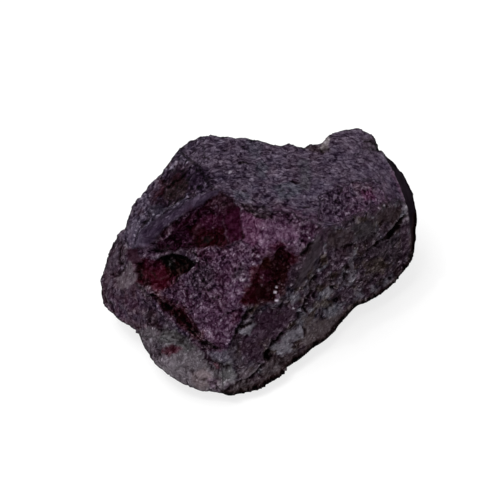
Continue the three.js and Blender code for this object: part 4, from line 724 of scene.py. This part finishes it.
    # the outline, on both sides of the turn
    about = smooth(-0.7, -0.15, turned)
    out, inward = np.zeros(len(base)), np.zeros(len(base))
    for height, width, pts in SWELLS:
        near = ((uv > np.min(pts, 0) - 24) & (uv < np.max(pts, 0) + 24)).all(1) & (about > 0)
        d, s_, _ = along(uv[near], pts)
        g = height * np.exp(-((d / width) ** 2)) * about[near] * smooth(0.75, 0.3, turned[near])
        out[near] = np.maximum(out[near], g)
        inward[near] = np.minimum(inward[near], g)
    h += out + inward

    crack_shade = np.zeros(len(base))
    lit = np.zeros(len(base))
    breakup = 0.65 + 0.7 * smooth(-0.5, 0.5, noise(base / 0.8, 66))
    for width, depth, dark, pts in CRACKS:
        if dark > 1:  # a clean one
            g = line(pts, np.full(len(base), width), 0.45, uv + 0.5 * warp2)
            crack_shade = np.maximum(crack_shade, smooth(0.12, 0.42, g))
            g = smooth(0.3, 0.9, g)
        else:
            g = line(pts, width * breakup)
            crack_shade = np.maximum(crack_shade, g * dark)
        h -= depth * g
    for width, height, light, pts in RIDGES:
        g = line(pts, width * breakup)
        h += height * g
        lit = np.maximum(lit, g * light * np.clip(breakup, 0.5, 1.0))
    # painted highlights on single grains, with a slight bump in the relief
    painted_glint = np.zeros(len(base))
    for u, v, size, bright in PAINTED_GLINTS:
        d = np.sqrt(((uv - np.array([u, v])) ** 2).sum(1))
        painted_glint = np.maximum(painted_glint, bright * smooth(size * 1.05, size * 0.45, d + 0.5 * warp2[:, 0]) * facing)
    h += 0.06 * painted_glint

    # sugar: coarse and fine broken grains, strong on the front, weak on smooth breaks
    sugar = 0.86 + 0.10 * m["front"] - 0.26 * m["top"] - 0.12 * m["lobe"] - 0.16 * m["end"] - 0.2 * m["w0"]
    sugar = sugar * (1 - 0.85 * np.clip(calm, 0, 1)) * (1 + 0.3 * np.clip(-calm, 0, 1))
    sugar = sugar * (1 - 0.65 * glass) * (1 - 0.65 * rib) * (1 - 0.75 * m["shaded_band"]) * (1 - 0.4 * under) * (1 - 0.8 * worn)
    lump = sugar * (1 - 0.5 * m["top"])
    h += lump * (0.06 * A + 0.015 * (ar - 0.5) + 0.10 * B + 0.03 * (br - 0.5))
    h -= lump * 0.03 * smooth(0.12, 0.0, a2 - a1)
    stone.co = base + n0 * (h * foot)[:, None]

    # finest grain, on the roughened surface
    n1 = stone.normals()
    F, f1, f2, fr = chips(lay, 0.42, 71)
    h2 = sugar * foot * (0.09 * F + 0.02 * (fr - 0.5)) + 0.012 * fbm(base / 0.3, 2, 81) * foot
    stone.co = stone.co + n1 * h2[:, None]
    stone.co[flat, 2] = 0.0
    stone.co[:, 2] = np.maximum(stone.co[:, 2], 0.0)

    stone.co += (worn * 0.85)[:, None] * (stone.blur(stone.co, 5) - stone.co)
    stone.co[flat, 2] = 0.0
    stone.co[:, 2] = np.maximum(stone.co[:, 2], 0.0)

    # ---- how open each point lies: below 0 in a dip, above 0 on an edge ----
    n2 = stone.normals()
    soft = stone.blur(stone.co, 6)
    edge = ((stone.co - soft) * n2).sum(1) / 0.05
    soft2 = stone.blur(stone.co, 24)
    edge2 = ((stone.co - soft2) * n2).sum(1) / 0.12

    # how much single grains differ in lightness, and how far the lightest ones stand out
    speckle = 0.19 + 0.025 * m["front"] - 0.025 * m["top"] - 0.04 * m["end"] - 0.06 * m["w0"] - 0.05 * m["lobe"]
    speckle = speckle * (1 - 0.40 * glass) * (1 - 0.60 * rib) * (1 - 0.85 * m["shaded_band"]) * (1 - 0.35 * rest) * (1 - 0.3 * m["w3"]) * (1 + 0.2 * m["w2"])
    speckle = speckle * (1 - 0.80 * np.clip(calm, 0, 1)) * (1 + 1.4 * np.clip(-calm, 0, 1))
    speckle = speckle * (1 + 0.3 * mask(COARSE, 6))
    hoar = 0.7 - 0.6 * m["top"] + 0.4 * m["end"] + 0.1 * m["lobe"] + 0.1 * m["w0"] + 0.4 * m["w3"]
    hoar = hoar + 0.8 * np.clip(-calm, 0, 1)
    hoar = hoar * (1 - 0.3 * glass) * (1 - 0.5 * np.clip(calm, 0, 1)) * (1 - m["shaded_band"])
    return {
        "masks": m, "glass": glass, "sugar": sugar, "speckle": speckle, "hoar": hoar, "edge": edge, "edge2": edge2,
        "crack_shade": crack_shade, "lit": lit, "painted_glint": painted_glint, "uv": uv, "wuv": wuv, "facing": facing, "turned": turned, "rest": rest,
        "base": base, "n0": n0, "cells": (ar, br, fr, dr, cr, er), "mask": mask, "rear": rear, "under": under,
        "foot": foot, "rib": rib, "layers": layers, "ribbed": ribbed, "calm": calm, "lay": lay,
    }


LIGHT = 0.93

# Grain direction: region, angle of the grain in the view in degrees, how much the grains are drawn out
GRAIN = [
    (TOP, -11, 0.50),
    ([(160, 180), (176, 150), (200, 132), (206, 150), (200, 166), (184, 172), (166, 186)], 30, 0.30),
    (LEFT_FACE, 50, 0.28),
    (RIB_BAND, 30, 0.45),
    (WINDOW_1, 28, 0.20),
    (END, 47, 0.25),
    (LEFT_LOBE, 72, 0.30),
    ([(318, 228), (326, 230), (318, 262), (302, 290), (292, 290), (306, 252)], 62, 0.62),
]


def lamp(n):
    """How much light the room and the lamps give a surface that faces this way."""
    x, y, z = n[:, 0], n[:, 1], n[:, 2]
    e = 1.261 - 0.311 * x + 0.628 * y - 0.52 * z - 0.051 * x * x + 0.622 * z * z - 0.146 * x * z - 0.184 * y * z - 0.118 * x * y
    return np.clip(e, 0.5, 1.6)


def rim(uv, seen, most=8):
    """How far each point lies inside the outline of the stone in the view, in view points, up to a limit."""
    g = np.zeros((1000, 1000), bool)
    at = np.clip((uv * 2).astype(int), 0, 999)
    g[at[seen, 1], at[seen, 0]] = True

    def grown(a):
        b = a.copy()
        b[1:] |= a[:-1]
        b[:-1] |= a[1:]
        b[:, 1:] |= a[:, :-1]
        b[:, :-1] |= a[:, 1:]
        return b

    for _ in range(5):
        g = grown(g)
    for _ in range(5):
        g = ~grown(~g)
    depth = np.zeros(g.shape)
    for _ in range(2 * most):
        depth += g
        g = ~grown(~g)
    return depth[at[:, 1], at[:, 0]] / 2.0


def colour(stone, q):
    """The colour at each point: the stone's minerals, with painted shade, highlights and glints."""
    m, mask, base = q["masks"], q["mask"], q["base"]
    ar, br, fr, dr, cr, er = q["cells"]
    n = len(base)
    slow = fbm(base / 4.5, 2, 91)
    fast = fbm(base / 1.3, 2, 92)
    hue = fbm(base / 2.2, 2, 93)
    hue2 = fbm(base / 1.1, 2, 94)

    # colours are mixed by how they look, on a scale of 0 to 1, and made linear at the end
    tone = np.tile(np.array(TONES["mauve"], float) / 255.0, (n, 1))

    def cover(name, w, lift=0):
        nonlocal tone
        tone = tone + ((np.array(TONES[name], float) + lift) / 255.0 - tone) * np.clip(w, 0, 1)[:, None]

    def shift(w, by=(1.0, 1.0, 1.0)):
        nonlocal tone
        tone = tone + np.outer(w, by)

    for name in ("top", "left", "front", "end", "lobe", "bench"):
        cover(name, m[name])
    # lighter and darker, bluer and redder places
    lean = 1 - 0.4 * m["top"] - 0.4 * m["front"]
    shift(0.018 * slow + 0.024 * fast)
    shift(0.05 * m["bench"] * fbm(base * np.array([1.1, 0.5, 0.8]), 3, 95))
    shift(0.022 * lean * hue, (1.0, -0.1, -0.9))
    shift(0.018 * lean * hue2, (0.7, -0.1, -0.8))
    for k, (name, size, low) in enumerate([("end_olive", 1.9, 0.10), ("end_violet", 2.2, 0.05), ("mica_blue", 1.3, 0.22), ("end_dark", 1.2, 0.20)]):
        cover(name, m["end"] * smooth(low, low + 0.2, fbm(base / size, 2, 120 + k)) * 0.7)
    for k, (name, size, low) in enumerate([("plum_mix", 1.6, 0.15), ("left", 2.0, 0.1), ("end_dark", 1.1, 0.22)]):
        cover(name, m["lobe"] * smooth(low, low + 0.2, fbm(base / size, 2, 130 + k)) * 0.6)
    for k, (name, size, low) in enumerate([("quartz_tan", 1.4, 0.2), ("plum_mix", 1.3, 0.25), ("quartz_green", 1.8, 0.1)]):
        cover(name, m["bench"] * smooth(low, low + 0.2, fbm(base / size, 2, 140 + k)) * 0.5)
    cover("rib", q["rib"] * 0.95)
    cover("rib_lilac", q["rib"] * smooth(180, 205, q["uv"][:, 0]) * 0.25)
    for name, lift, share, soft, even, jagged, pts in PATCHES:
        w = mask(pts, soft, q["wuv"], jagged)
        if jagged > 0.3:
            w = w * smooth(-0.9, -0.2, fbm(base / 0.6, 2, 210) + 0.4 * (fr - 0.5))
        cover(name, w * share, lift)
    shift(0.024 * q["ribbed"] * np.clip(q["rib"] + 0.3 * m["w1"], 0, 1))
    shift(0.030 * q["layers"] * m["end"] * (1 - np.clip(q["calm"], 0, 1)))
    # painted shade on the steep right side, darker towards its foot
    cover("shaded_band", m["shaded_band"])
    shift(-0.035 * m["shaded_band"] * smooth(188, 222, q["uv"][:, 1]))

    # hidden sides: the same minerals in the same share
    rest = q["rest"]
    cover("mauve", rest)
    cover("front", rest * smooth(0.0, 0.35, fbm(base / 5.5, 2, 301)) * 0.8)
    cover("w3_red", rest * smooth(0.2, 0.42, fbm(base / 4.2, 2, 302)) * (1 - q["under"]) * 0.6)
    # painted shade on the hidden right side, next to the shaded band
    shaded = rest * smooth(8, 15, base[:, 0] + 2.5 * fbm(base / 3.0, 2, 304)) * smooth(-1.0, -0.1, q["turned"])
    cover("painted_shade_side", shaded * 0.85)
    cover("quartz", rest * (1 - 0.7 * shaded) * smooth(0.0, 0.4, fbm(base / 2.8, 3, 303) + 0.5 * smooth(6, 1, base[:, 2]) - 0.35) * 0.8)

    # edges lighter, partly as frosted wear and partly as painted highlight, and painted shade in the dips
    s = np.clip(q["sugar"], 0, 1)
    e = np.clip(q["edge"], -2, 2) * 0.5
    e2 = np.clip(q["edge2"], -2, 2) * 0.5
    plain_ = (1 - 0.6 * q["glass"] - 0.5 * m["shaded_band"]) * (1 - 0.5 * q["rib"])
    shift(0.10 * np.clip(0.6 * e + 0.4 * e2, 0, 1) * plain_, (1.0, 0.98, 1.04))
    shift(-0.10 * np.clip(-0.7 * e - 0.5 * e2, 0, 1) * (0.15 + 0.85 * s) * plain_)
    # grain by grain
    shift(0.09 * s * (0.6 * br + 0.4 * fr - 0.5))
    tone = np.maximum(tone, 0.006)
    # painted shade in the cracks, near black
    cover("hole", q["crack_shade"] * 0.92)
    # painted highlight along the ridges
    greyer = np.clip(m["bench"] + m["end"] + m["lobe"], 0, 1)
    cover("front_light", q["lit"] * 0.6 * (1 - greyer))
    cover("painted_ridge_highlight", q["lit"] * 0.7 * greyer)
    # painted shade where the sides turn away and under, and a little more along the outline
    turn = smooth(0.36, 0.10, q["turned"]) * q["facing"] * (1 - m["shaded_band"])
    tone = tone * (1 - 0.30 * turn)[:, None]
    depth = rim(to_view(stone.co), q["turned"] > 0.0)
    outer = smooth(-0.2, -0.02, q["turned"]) * smooth(2.4, 0.6, depth)
    tone = tone * (1 - 0.30 * outer)[:, None]
    # painted shadow along the foot at the lower right: a brown band with a near-black line at the outline
    low = smooth(-3, 3, inside(q["uv"], LOW_RIGHT)) * smooth(-0.5, -0.3, q["turned"])
    wide = 2.6 + 1.9 * smooth(372, 340, q["uv"][:, 0]) * smooth(232, 262, q["uv"][:, 0])
    cover("painted_foot_shadow", low * smooth(3.4, 1.2, depth - wide) * 0.7)
    low = low * smooth(-0.38, -0.10, q["turned"])
    cover("hole", low * smooth(1.5, -0.3, depth - wide) * 0.97)
    # painted glints: the tone is mixed toward pale grey
    bright = np.array([0.80, 0.77, 0.82])[None, :]
    tone = tone + (bright - tone) * (q["painted_glint"] * 0.74)[:, None]

    # what looks this dark in this light
    big = stone.blur(q["n0"], 30)
    big /= np.linalg.norm(big, axis=1)[:, None]
    light = LIGHT * (lamp(big) * q["facing"] + 0.95 * rest)
    return np.clip(np.clip(tone, 0.006, 0.97) ** 2.2 / light[:, None], 0.0001, 0.9)


# where the side turns under at the lower right, and where the painted shadow along the foot lies
LOW_RIGHT = [(408, 214), (430, 214), (430, 300), (340, 360), (300, 400), (224, 410), (222, 386), (262, 374), (300, 342), (340, 306), (386, 276)]


def build_stone():
    fine = fine_mesh(0.215)
    stone = Stone(fine)
    q = shape(stone)
    tone = colour(stone, q)
    fine.vertices.foreach_set("co", (stone.co / 1000.0).astype(np.float32).ravel())
    n = len(stone.co)
    a = fine.color_attributes.new("colour_with_painted_light", "FLOAT_COLOR", "POINT")
    a.data.foreach_set("color", np.concatenate([tone, np.ones((n, 1))], 1).astype(np.float32).ravel())
    a = fine.attributes.new("lay", "FLOAT_VECTOR", "POINT")
    a.data.foreach_set("vector", q["lay"].astype(np.float32).ravel())
    for name in ("sugar", "speckle", "glass", "hoar"):
        x = np.clip(q[name], 0, 1.4)
        a = fine.attributes.new(name, "FLOAT", "POINT")
        a.data.foreach_set("value", x.astype(np.float32))
    fine.materials.clear()
    fine.polygons.foreach_set("use_smooth", [True] * len(fine.polygons))
    dull = q["masks"]["shaded_band"][stone.faces].mean(1) > 0.5
    clear = q["glass"][stone.faces].mean(1) > 0.5
    fine.polygons.foreach_set("material_index", (1 * dull + 2 * (clear & ~dull)).astype(np.int32))
    fine.update()
    ob = bpy.data.objects.new("rubellite_surface", fine)
    bpy.context.scene.collection.objects.link(ob)
    return ob


def tourmaline(name, gloss):
    mat = bpy.data.materials.new(name)
    mat.use_nodes = True
    t = mat.node_tree
    nd, lk = t.nodes, t.links
    b = nd["Principled BSDF"]

    def new(kind, **props):
        x = nd.new(kind)
        for k, v in props.items():
            setattr(x, k, v)
        return x

    def put(x, i, s):
        if isinstance(s, (int, float)):
            x.inputs[i].default_value = s
        elif isinstance(s, tuple):
            x.inputs[i].default_value = s
        else:
            lk.new(s, x.inputs[i])

    def maths(op, *given, clamp=False):
        x = new("ShaderNodeMath", operation=op, use_clamp=clamp)
        for i, s in enumerate(given):
            put(x, i, s)
        return x.outputs[0]

    def vector(op, *given):
        x = new("ShaderNodeVectorMath", operation=op)
        for i, s in enumerate(given):
            put(x, i, s)
        return x.outputs["Value" if op in ("DOT_PRODUCT", "LENGTH") else "Vector"]

    def scaled(v, k):
        x = new("ShaderNodeVectorMath", operation="SCALE")
        lk.new(v, x.inputs[0])
        put(x, 3, k)
        return x.outputs[0]

    def blend(f, a, c):
        x = new("ShaderNodeMix", data_type="RGBA")
        put(x, 0, f)
        put(x, 6, a)
        put(x, 7, c)
        return x.outputs[2]

    def new_rgb(value):
        x = new("ShaderNodeCombineXYZ")
        for i, v in enumerate(value):
            x.inputs[i].default_value = v
        return x.outputs[0]

    def attribute(name, out="Fac"):
        return new("ShaderNodeAttribute", attribute_name=name).outputs[out]

    lay = attribute("lay", "Vector")  # place in mm, squeezed along the grain
    colour_with_painted_light = attribute("colour_with_painted_light", "Color")
    sugar, speckle, glass, hoar = (attribute(k) for k in ("sugar", "speckle", "glass", "hoar"))

    def cloud(vec, per_mm, detail=2.0, out="Fac"):
        v = new("ShaderNodeTexNoise", noise_dimensions="3D")
        v.inputs["Scale"].default_value = per_mm
        v.inputs["Detail"].default_value = detail
        lk.new(vec, v.inputs["Vector"])
        return v.outputs[out]

    # the grains' walls are uneven
    wob = vector("MULTIPLY_ADD", cloud(lay, 2.2, 2.0, "Color"), (0.3, 0.3, 0.3), lay)

    def facets(vec, per_mm):
        """Broken grains: the height of each one's tilted face in mm per unit of tilt, how far out in the grain, three random numbers."""
        v = new("ShaderNodeTexVoronoi", feature="F1", voronoi_dimensions="3D")
        v.inputs["Scale"].default_value = per_mm
        lk.new(vec, v.inputs["Vector"])
        tilt = vector("MULTIPLY_ADD", v.outputs["Color"], (2.0, 2.0, 2.0), (-1.0, -1.0, -1.0))
        h = vector("DOT_PRODUCT", vector("SUBTRACT", vec, v.outputs["Position"]), tilt)
        sep = new("ShaderNodeSeparateColor")
        lk.new(v.outputs["Color"], sep.inputs[0])
        return h, v.outputs["Distance"], sep.outputs[0], sep.outputs[1], sep.outputs[2]

    ha, da, a0, a1, a2 = facets(wob, 1.25)
    hb, db, b0, b1, b2 = facets(wob, 2.3)
    hc, dc, c0, c1, c2 = facets(wob, 4.2)
    dust = cloud(lay, 7.0, 2.0)

    # how light each grain is, about 0 to 1
    k = maths("MULTIPLY", b1, 0.42)
    k = maths("MULTIPLY_ADD", c1, 0.46, k)
    k = maths("MULTIPLY_ADD", a1, 0.12, k)
    k = maths("MULTIPLY_ADD", maths("SUBTRACT", dust, 0.5), 0.7, k)
    # darker towards the gaps, with pale rims on the coarse grains
    rim = maths("MULTIPLY_ADD", da, 4.0, -2.1, clamp=True)
    gap = maths("MULTIPLY_ADD", db, 2.6, -1.15, clamp=True)
    k = maths("MULTIPLY_ADD", rim, 0.10, k)
    k = maths("MULTIPLY_ADD", gap, -0.16, k)
    k = maths("MULTIPLY_ADD", maths("SUBTRACT", k, 0.5), 2.0, 0.5)
    # grains differ by an even step on the scale of the eye, so dark ones are deep in colour and light ones pale
    off = maths("SUBTRACT", k, 0.5)
    high = maths("MAXIMUM", off, 0.0)
    off = maths("MULTIPLY_ADD", maths("MULTIPLY", high, high), hoar, off)
    off = maths("MULTIPLY_ADD", off, speckle, -0.004)
    # painted sparkle: a few single grains made pale as glints of light
    painted_sparkle = maths("MULTIPLY", maths("GREATER_THAN", c2, 0.985), maths("LESS_THAN", dc, 0.45))
    off = maths("MULTIPLY_ADD", maths("MULTIPLY", painted_sparkle, hoar), 0.22, off)
    seen_ = new("ShaderNodeGamma")
    lk.new(colour_with_painted_light, seen_.inputs[0])
    seen_.inputs[1].default_value = 1 / 2.2
    moved = vector("MAXIMUM", vector("ADD", seen_.outputs[0], scaled(new_rgb((1.0, 0.985, 1.02)), off)), (0.008, 0.004, 0.006))
    back_ = new("ShaderNodeGamma")
    lk.new(moved, back_.inputs[0])
    back_.inputs[1].default_value = 2.2
    base = back_.outputs[0]
    lk.new(base, b.inputs["Base Color"])

    # roughness
    r = maths("MULTIPLY_ADD", b2, 0.26, 0.40)
    r = maths("SUBTRACT", r, maths("MULTIPLY", glass, 0.22), clamp=True)
    lk.new(r, b.inputs["Roughness"])
    b.inputs["IOR"].default_value = 1.63
    b.inputs["Specular IOR Level"].default_value = gloss
    b.distribution = "GGX"

    # relief in millimetres
    rough = maths("MULTIPLY", ha, 0.16)
    rough = maths("MULTIPLY_ADD", hb, 0.38, rough)
    rough = maths("MULTIPLY_ADD", hc, 0.32, rough)
    rough = maths("MULTIPLY", rough, sugar)
    rough = maths("MULTIPLY_ADD", cloud(lay, 9.0, 2.0), 0.012, rough)
    bump = new("ShaderNodeBump")
    bump.inputs["Strength"].default_value = 1.0
    bump.inputs["Distance"].default_value = 0.001
    lk.new(rough, bump.inputs["Height"])
    lk.new(bump.outputs["Normal"], b.inputs["Normal"])
    return mat


def plain(name, colour_, rough=0.9, glow=0.0):
    mat = bpy.data.materials.new(name)
    mat.use_nodes = True
    b = mat.node_tree.nodes["Principled BSDF"]
    b.inputs["Base Color"].default_value = (*colour_, 1)
    b.inputs["Roughness"].default_value = rough
    b.inputs["Specular IOR Level"].default_value = 0.2
    b.inputs["Emission Color"].default_value = (1, 1, 1, 1)
    b.inputs["Emission Strength"].default_value = glow
    return mat


# ------------------------------------------------------------------ the stone
stone_ob = build_stone()
stone_ob.data.materials.append(tourmaline("tourmaline", 0.010))
stone_ob.data.materials.append(tourmaline("tourmaline_dull", 0.0))
stone_ob.data.materials.append(tourmaline("tourmaline_glassy", 0.008))
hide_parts(NODE)
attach(stone_ob, "root")

# ------------------------------------------------------------------ floor, camera and light
floor_mesh = bpy.data.meshes.new("floor")
R = 1.5
floor_mesh.from_pydata([(-R, -R, 0), (R, -R, 0), (R, R, 0), (-R, R, 0)], [], [(0, 1, 2, 3)])
floor = bpy.data.objects.new("floor", floor_mesh)
bpy.context.scene.collection.objects.link(floor)
floor_mesh.materials.append(plain("floor", (0.25, 0.25, 0.25), glow=0.765))

scene = bpy.context.scene
cam = bpy.data.cameras.new("view")
cam_ob = bpy.data.objects.new("view", cam)
scene.collection.objects.link(cam_ob)
cam_ob.location = Vector(EYE / 1000.0)
cam_ob.rotation_euler = (math.pi / 2 - ELEVATION, 0, 0)
cam.sensor_width = 36.0
cam.lens = 36.0 * FOCAL_PX / 500.0
cam.clip_start = 0.01
scene.camera = cam_ob


def soft_light(name, where, size, power, aim=(0, 0, 0.008), tint=(1, 1, 1)):
    light = bpy.data.lights.new(name, "AREA")
    light.shape = "SQUARE"
    light.size = size
    light.energy = power
    light.color = tint
    ob = bpy.data.objects.new(name, light)
    ob.location = where
    ob.rotation_euler = (Vector(aim) - Vector(where)).to_track_quat("-Z", "Y").to_euler()
    scene.collection.objects.link(ob)
    return ob


soft_light("key", (-0.20, 0.14, 0.58), 0.42, 3.3)
soft_light("spark", (-0.24, 0.06, 0.52), 0.03, 0.5)
world = bpy.data.worlds.new("room")
scene.world = world
world.use_nodes = True
wt = world.node_tree
back = wt.nodes["Background"]
back.inputs[0].default_value = (1, 1, 1, 1)
seen = wt.nodes.new("ShaderNodeLightPath").outputs["Is Camera Ray"]


def step(op, *given, clamp=False):
    x = wt.nodes.new("ShaderNodeMath")
    x.operation = op
    x.use_clamp = clamp
    for i, v in enumerate(given):
        if isinstance(v, (int, float)):
            x.inputs[i].default_value = v
        else:
            wt.links.new(v, x.inputs[i])
    return x.outputs[0]


# a pale wall behind and to the left, a dim room in front
where = wt.nodes.new("ShaderNodeTexCoord").outputs["Generated"]
dot = wt.nodes.new("ShaderNodeVectorMath")
dot.operation = "DOT_PRODUCT"
wt.links.new(where, dot.inputs[0])
dot.inputs[1].default_value = (-0.45, 0.85, 0.28)
wall = step("MULTIPLY_ADD", dot.outputs["Value"], 0.9, 0.25, clamp=True)
room = step("MULTIPLY_ADD", wall, 0.55, 0.25)
pale = step("MULTIPLY", seen, 0.95)
level = step("ADD", step("MULTIPLY", room, step("SUBTRACT", 1.0, seen)), pale)
wt.links.new(level, back.inputs[1])
scene.view_settings.view_transform = "Standard"
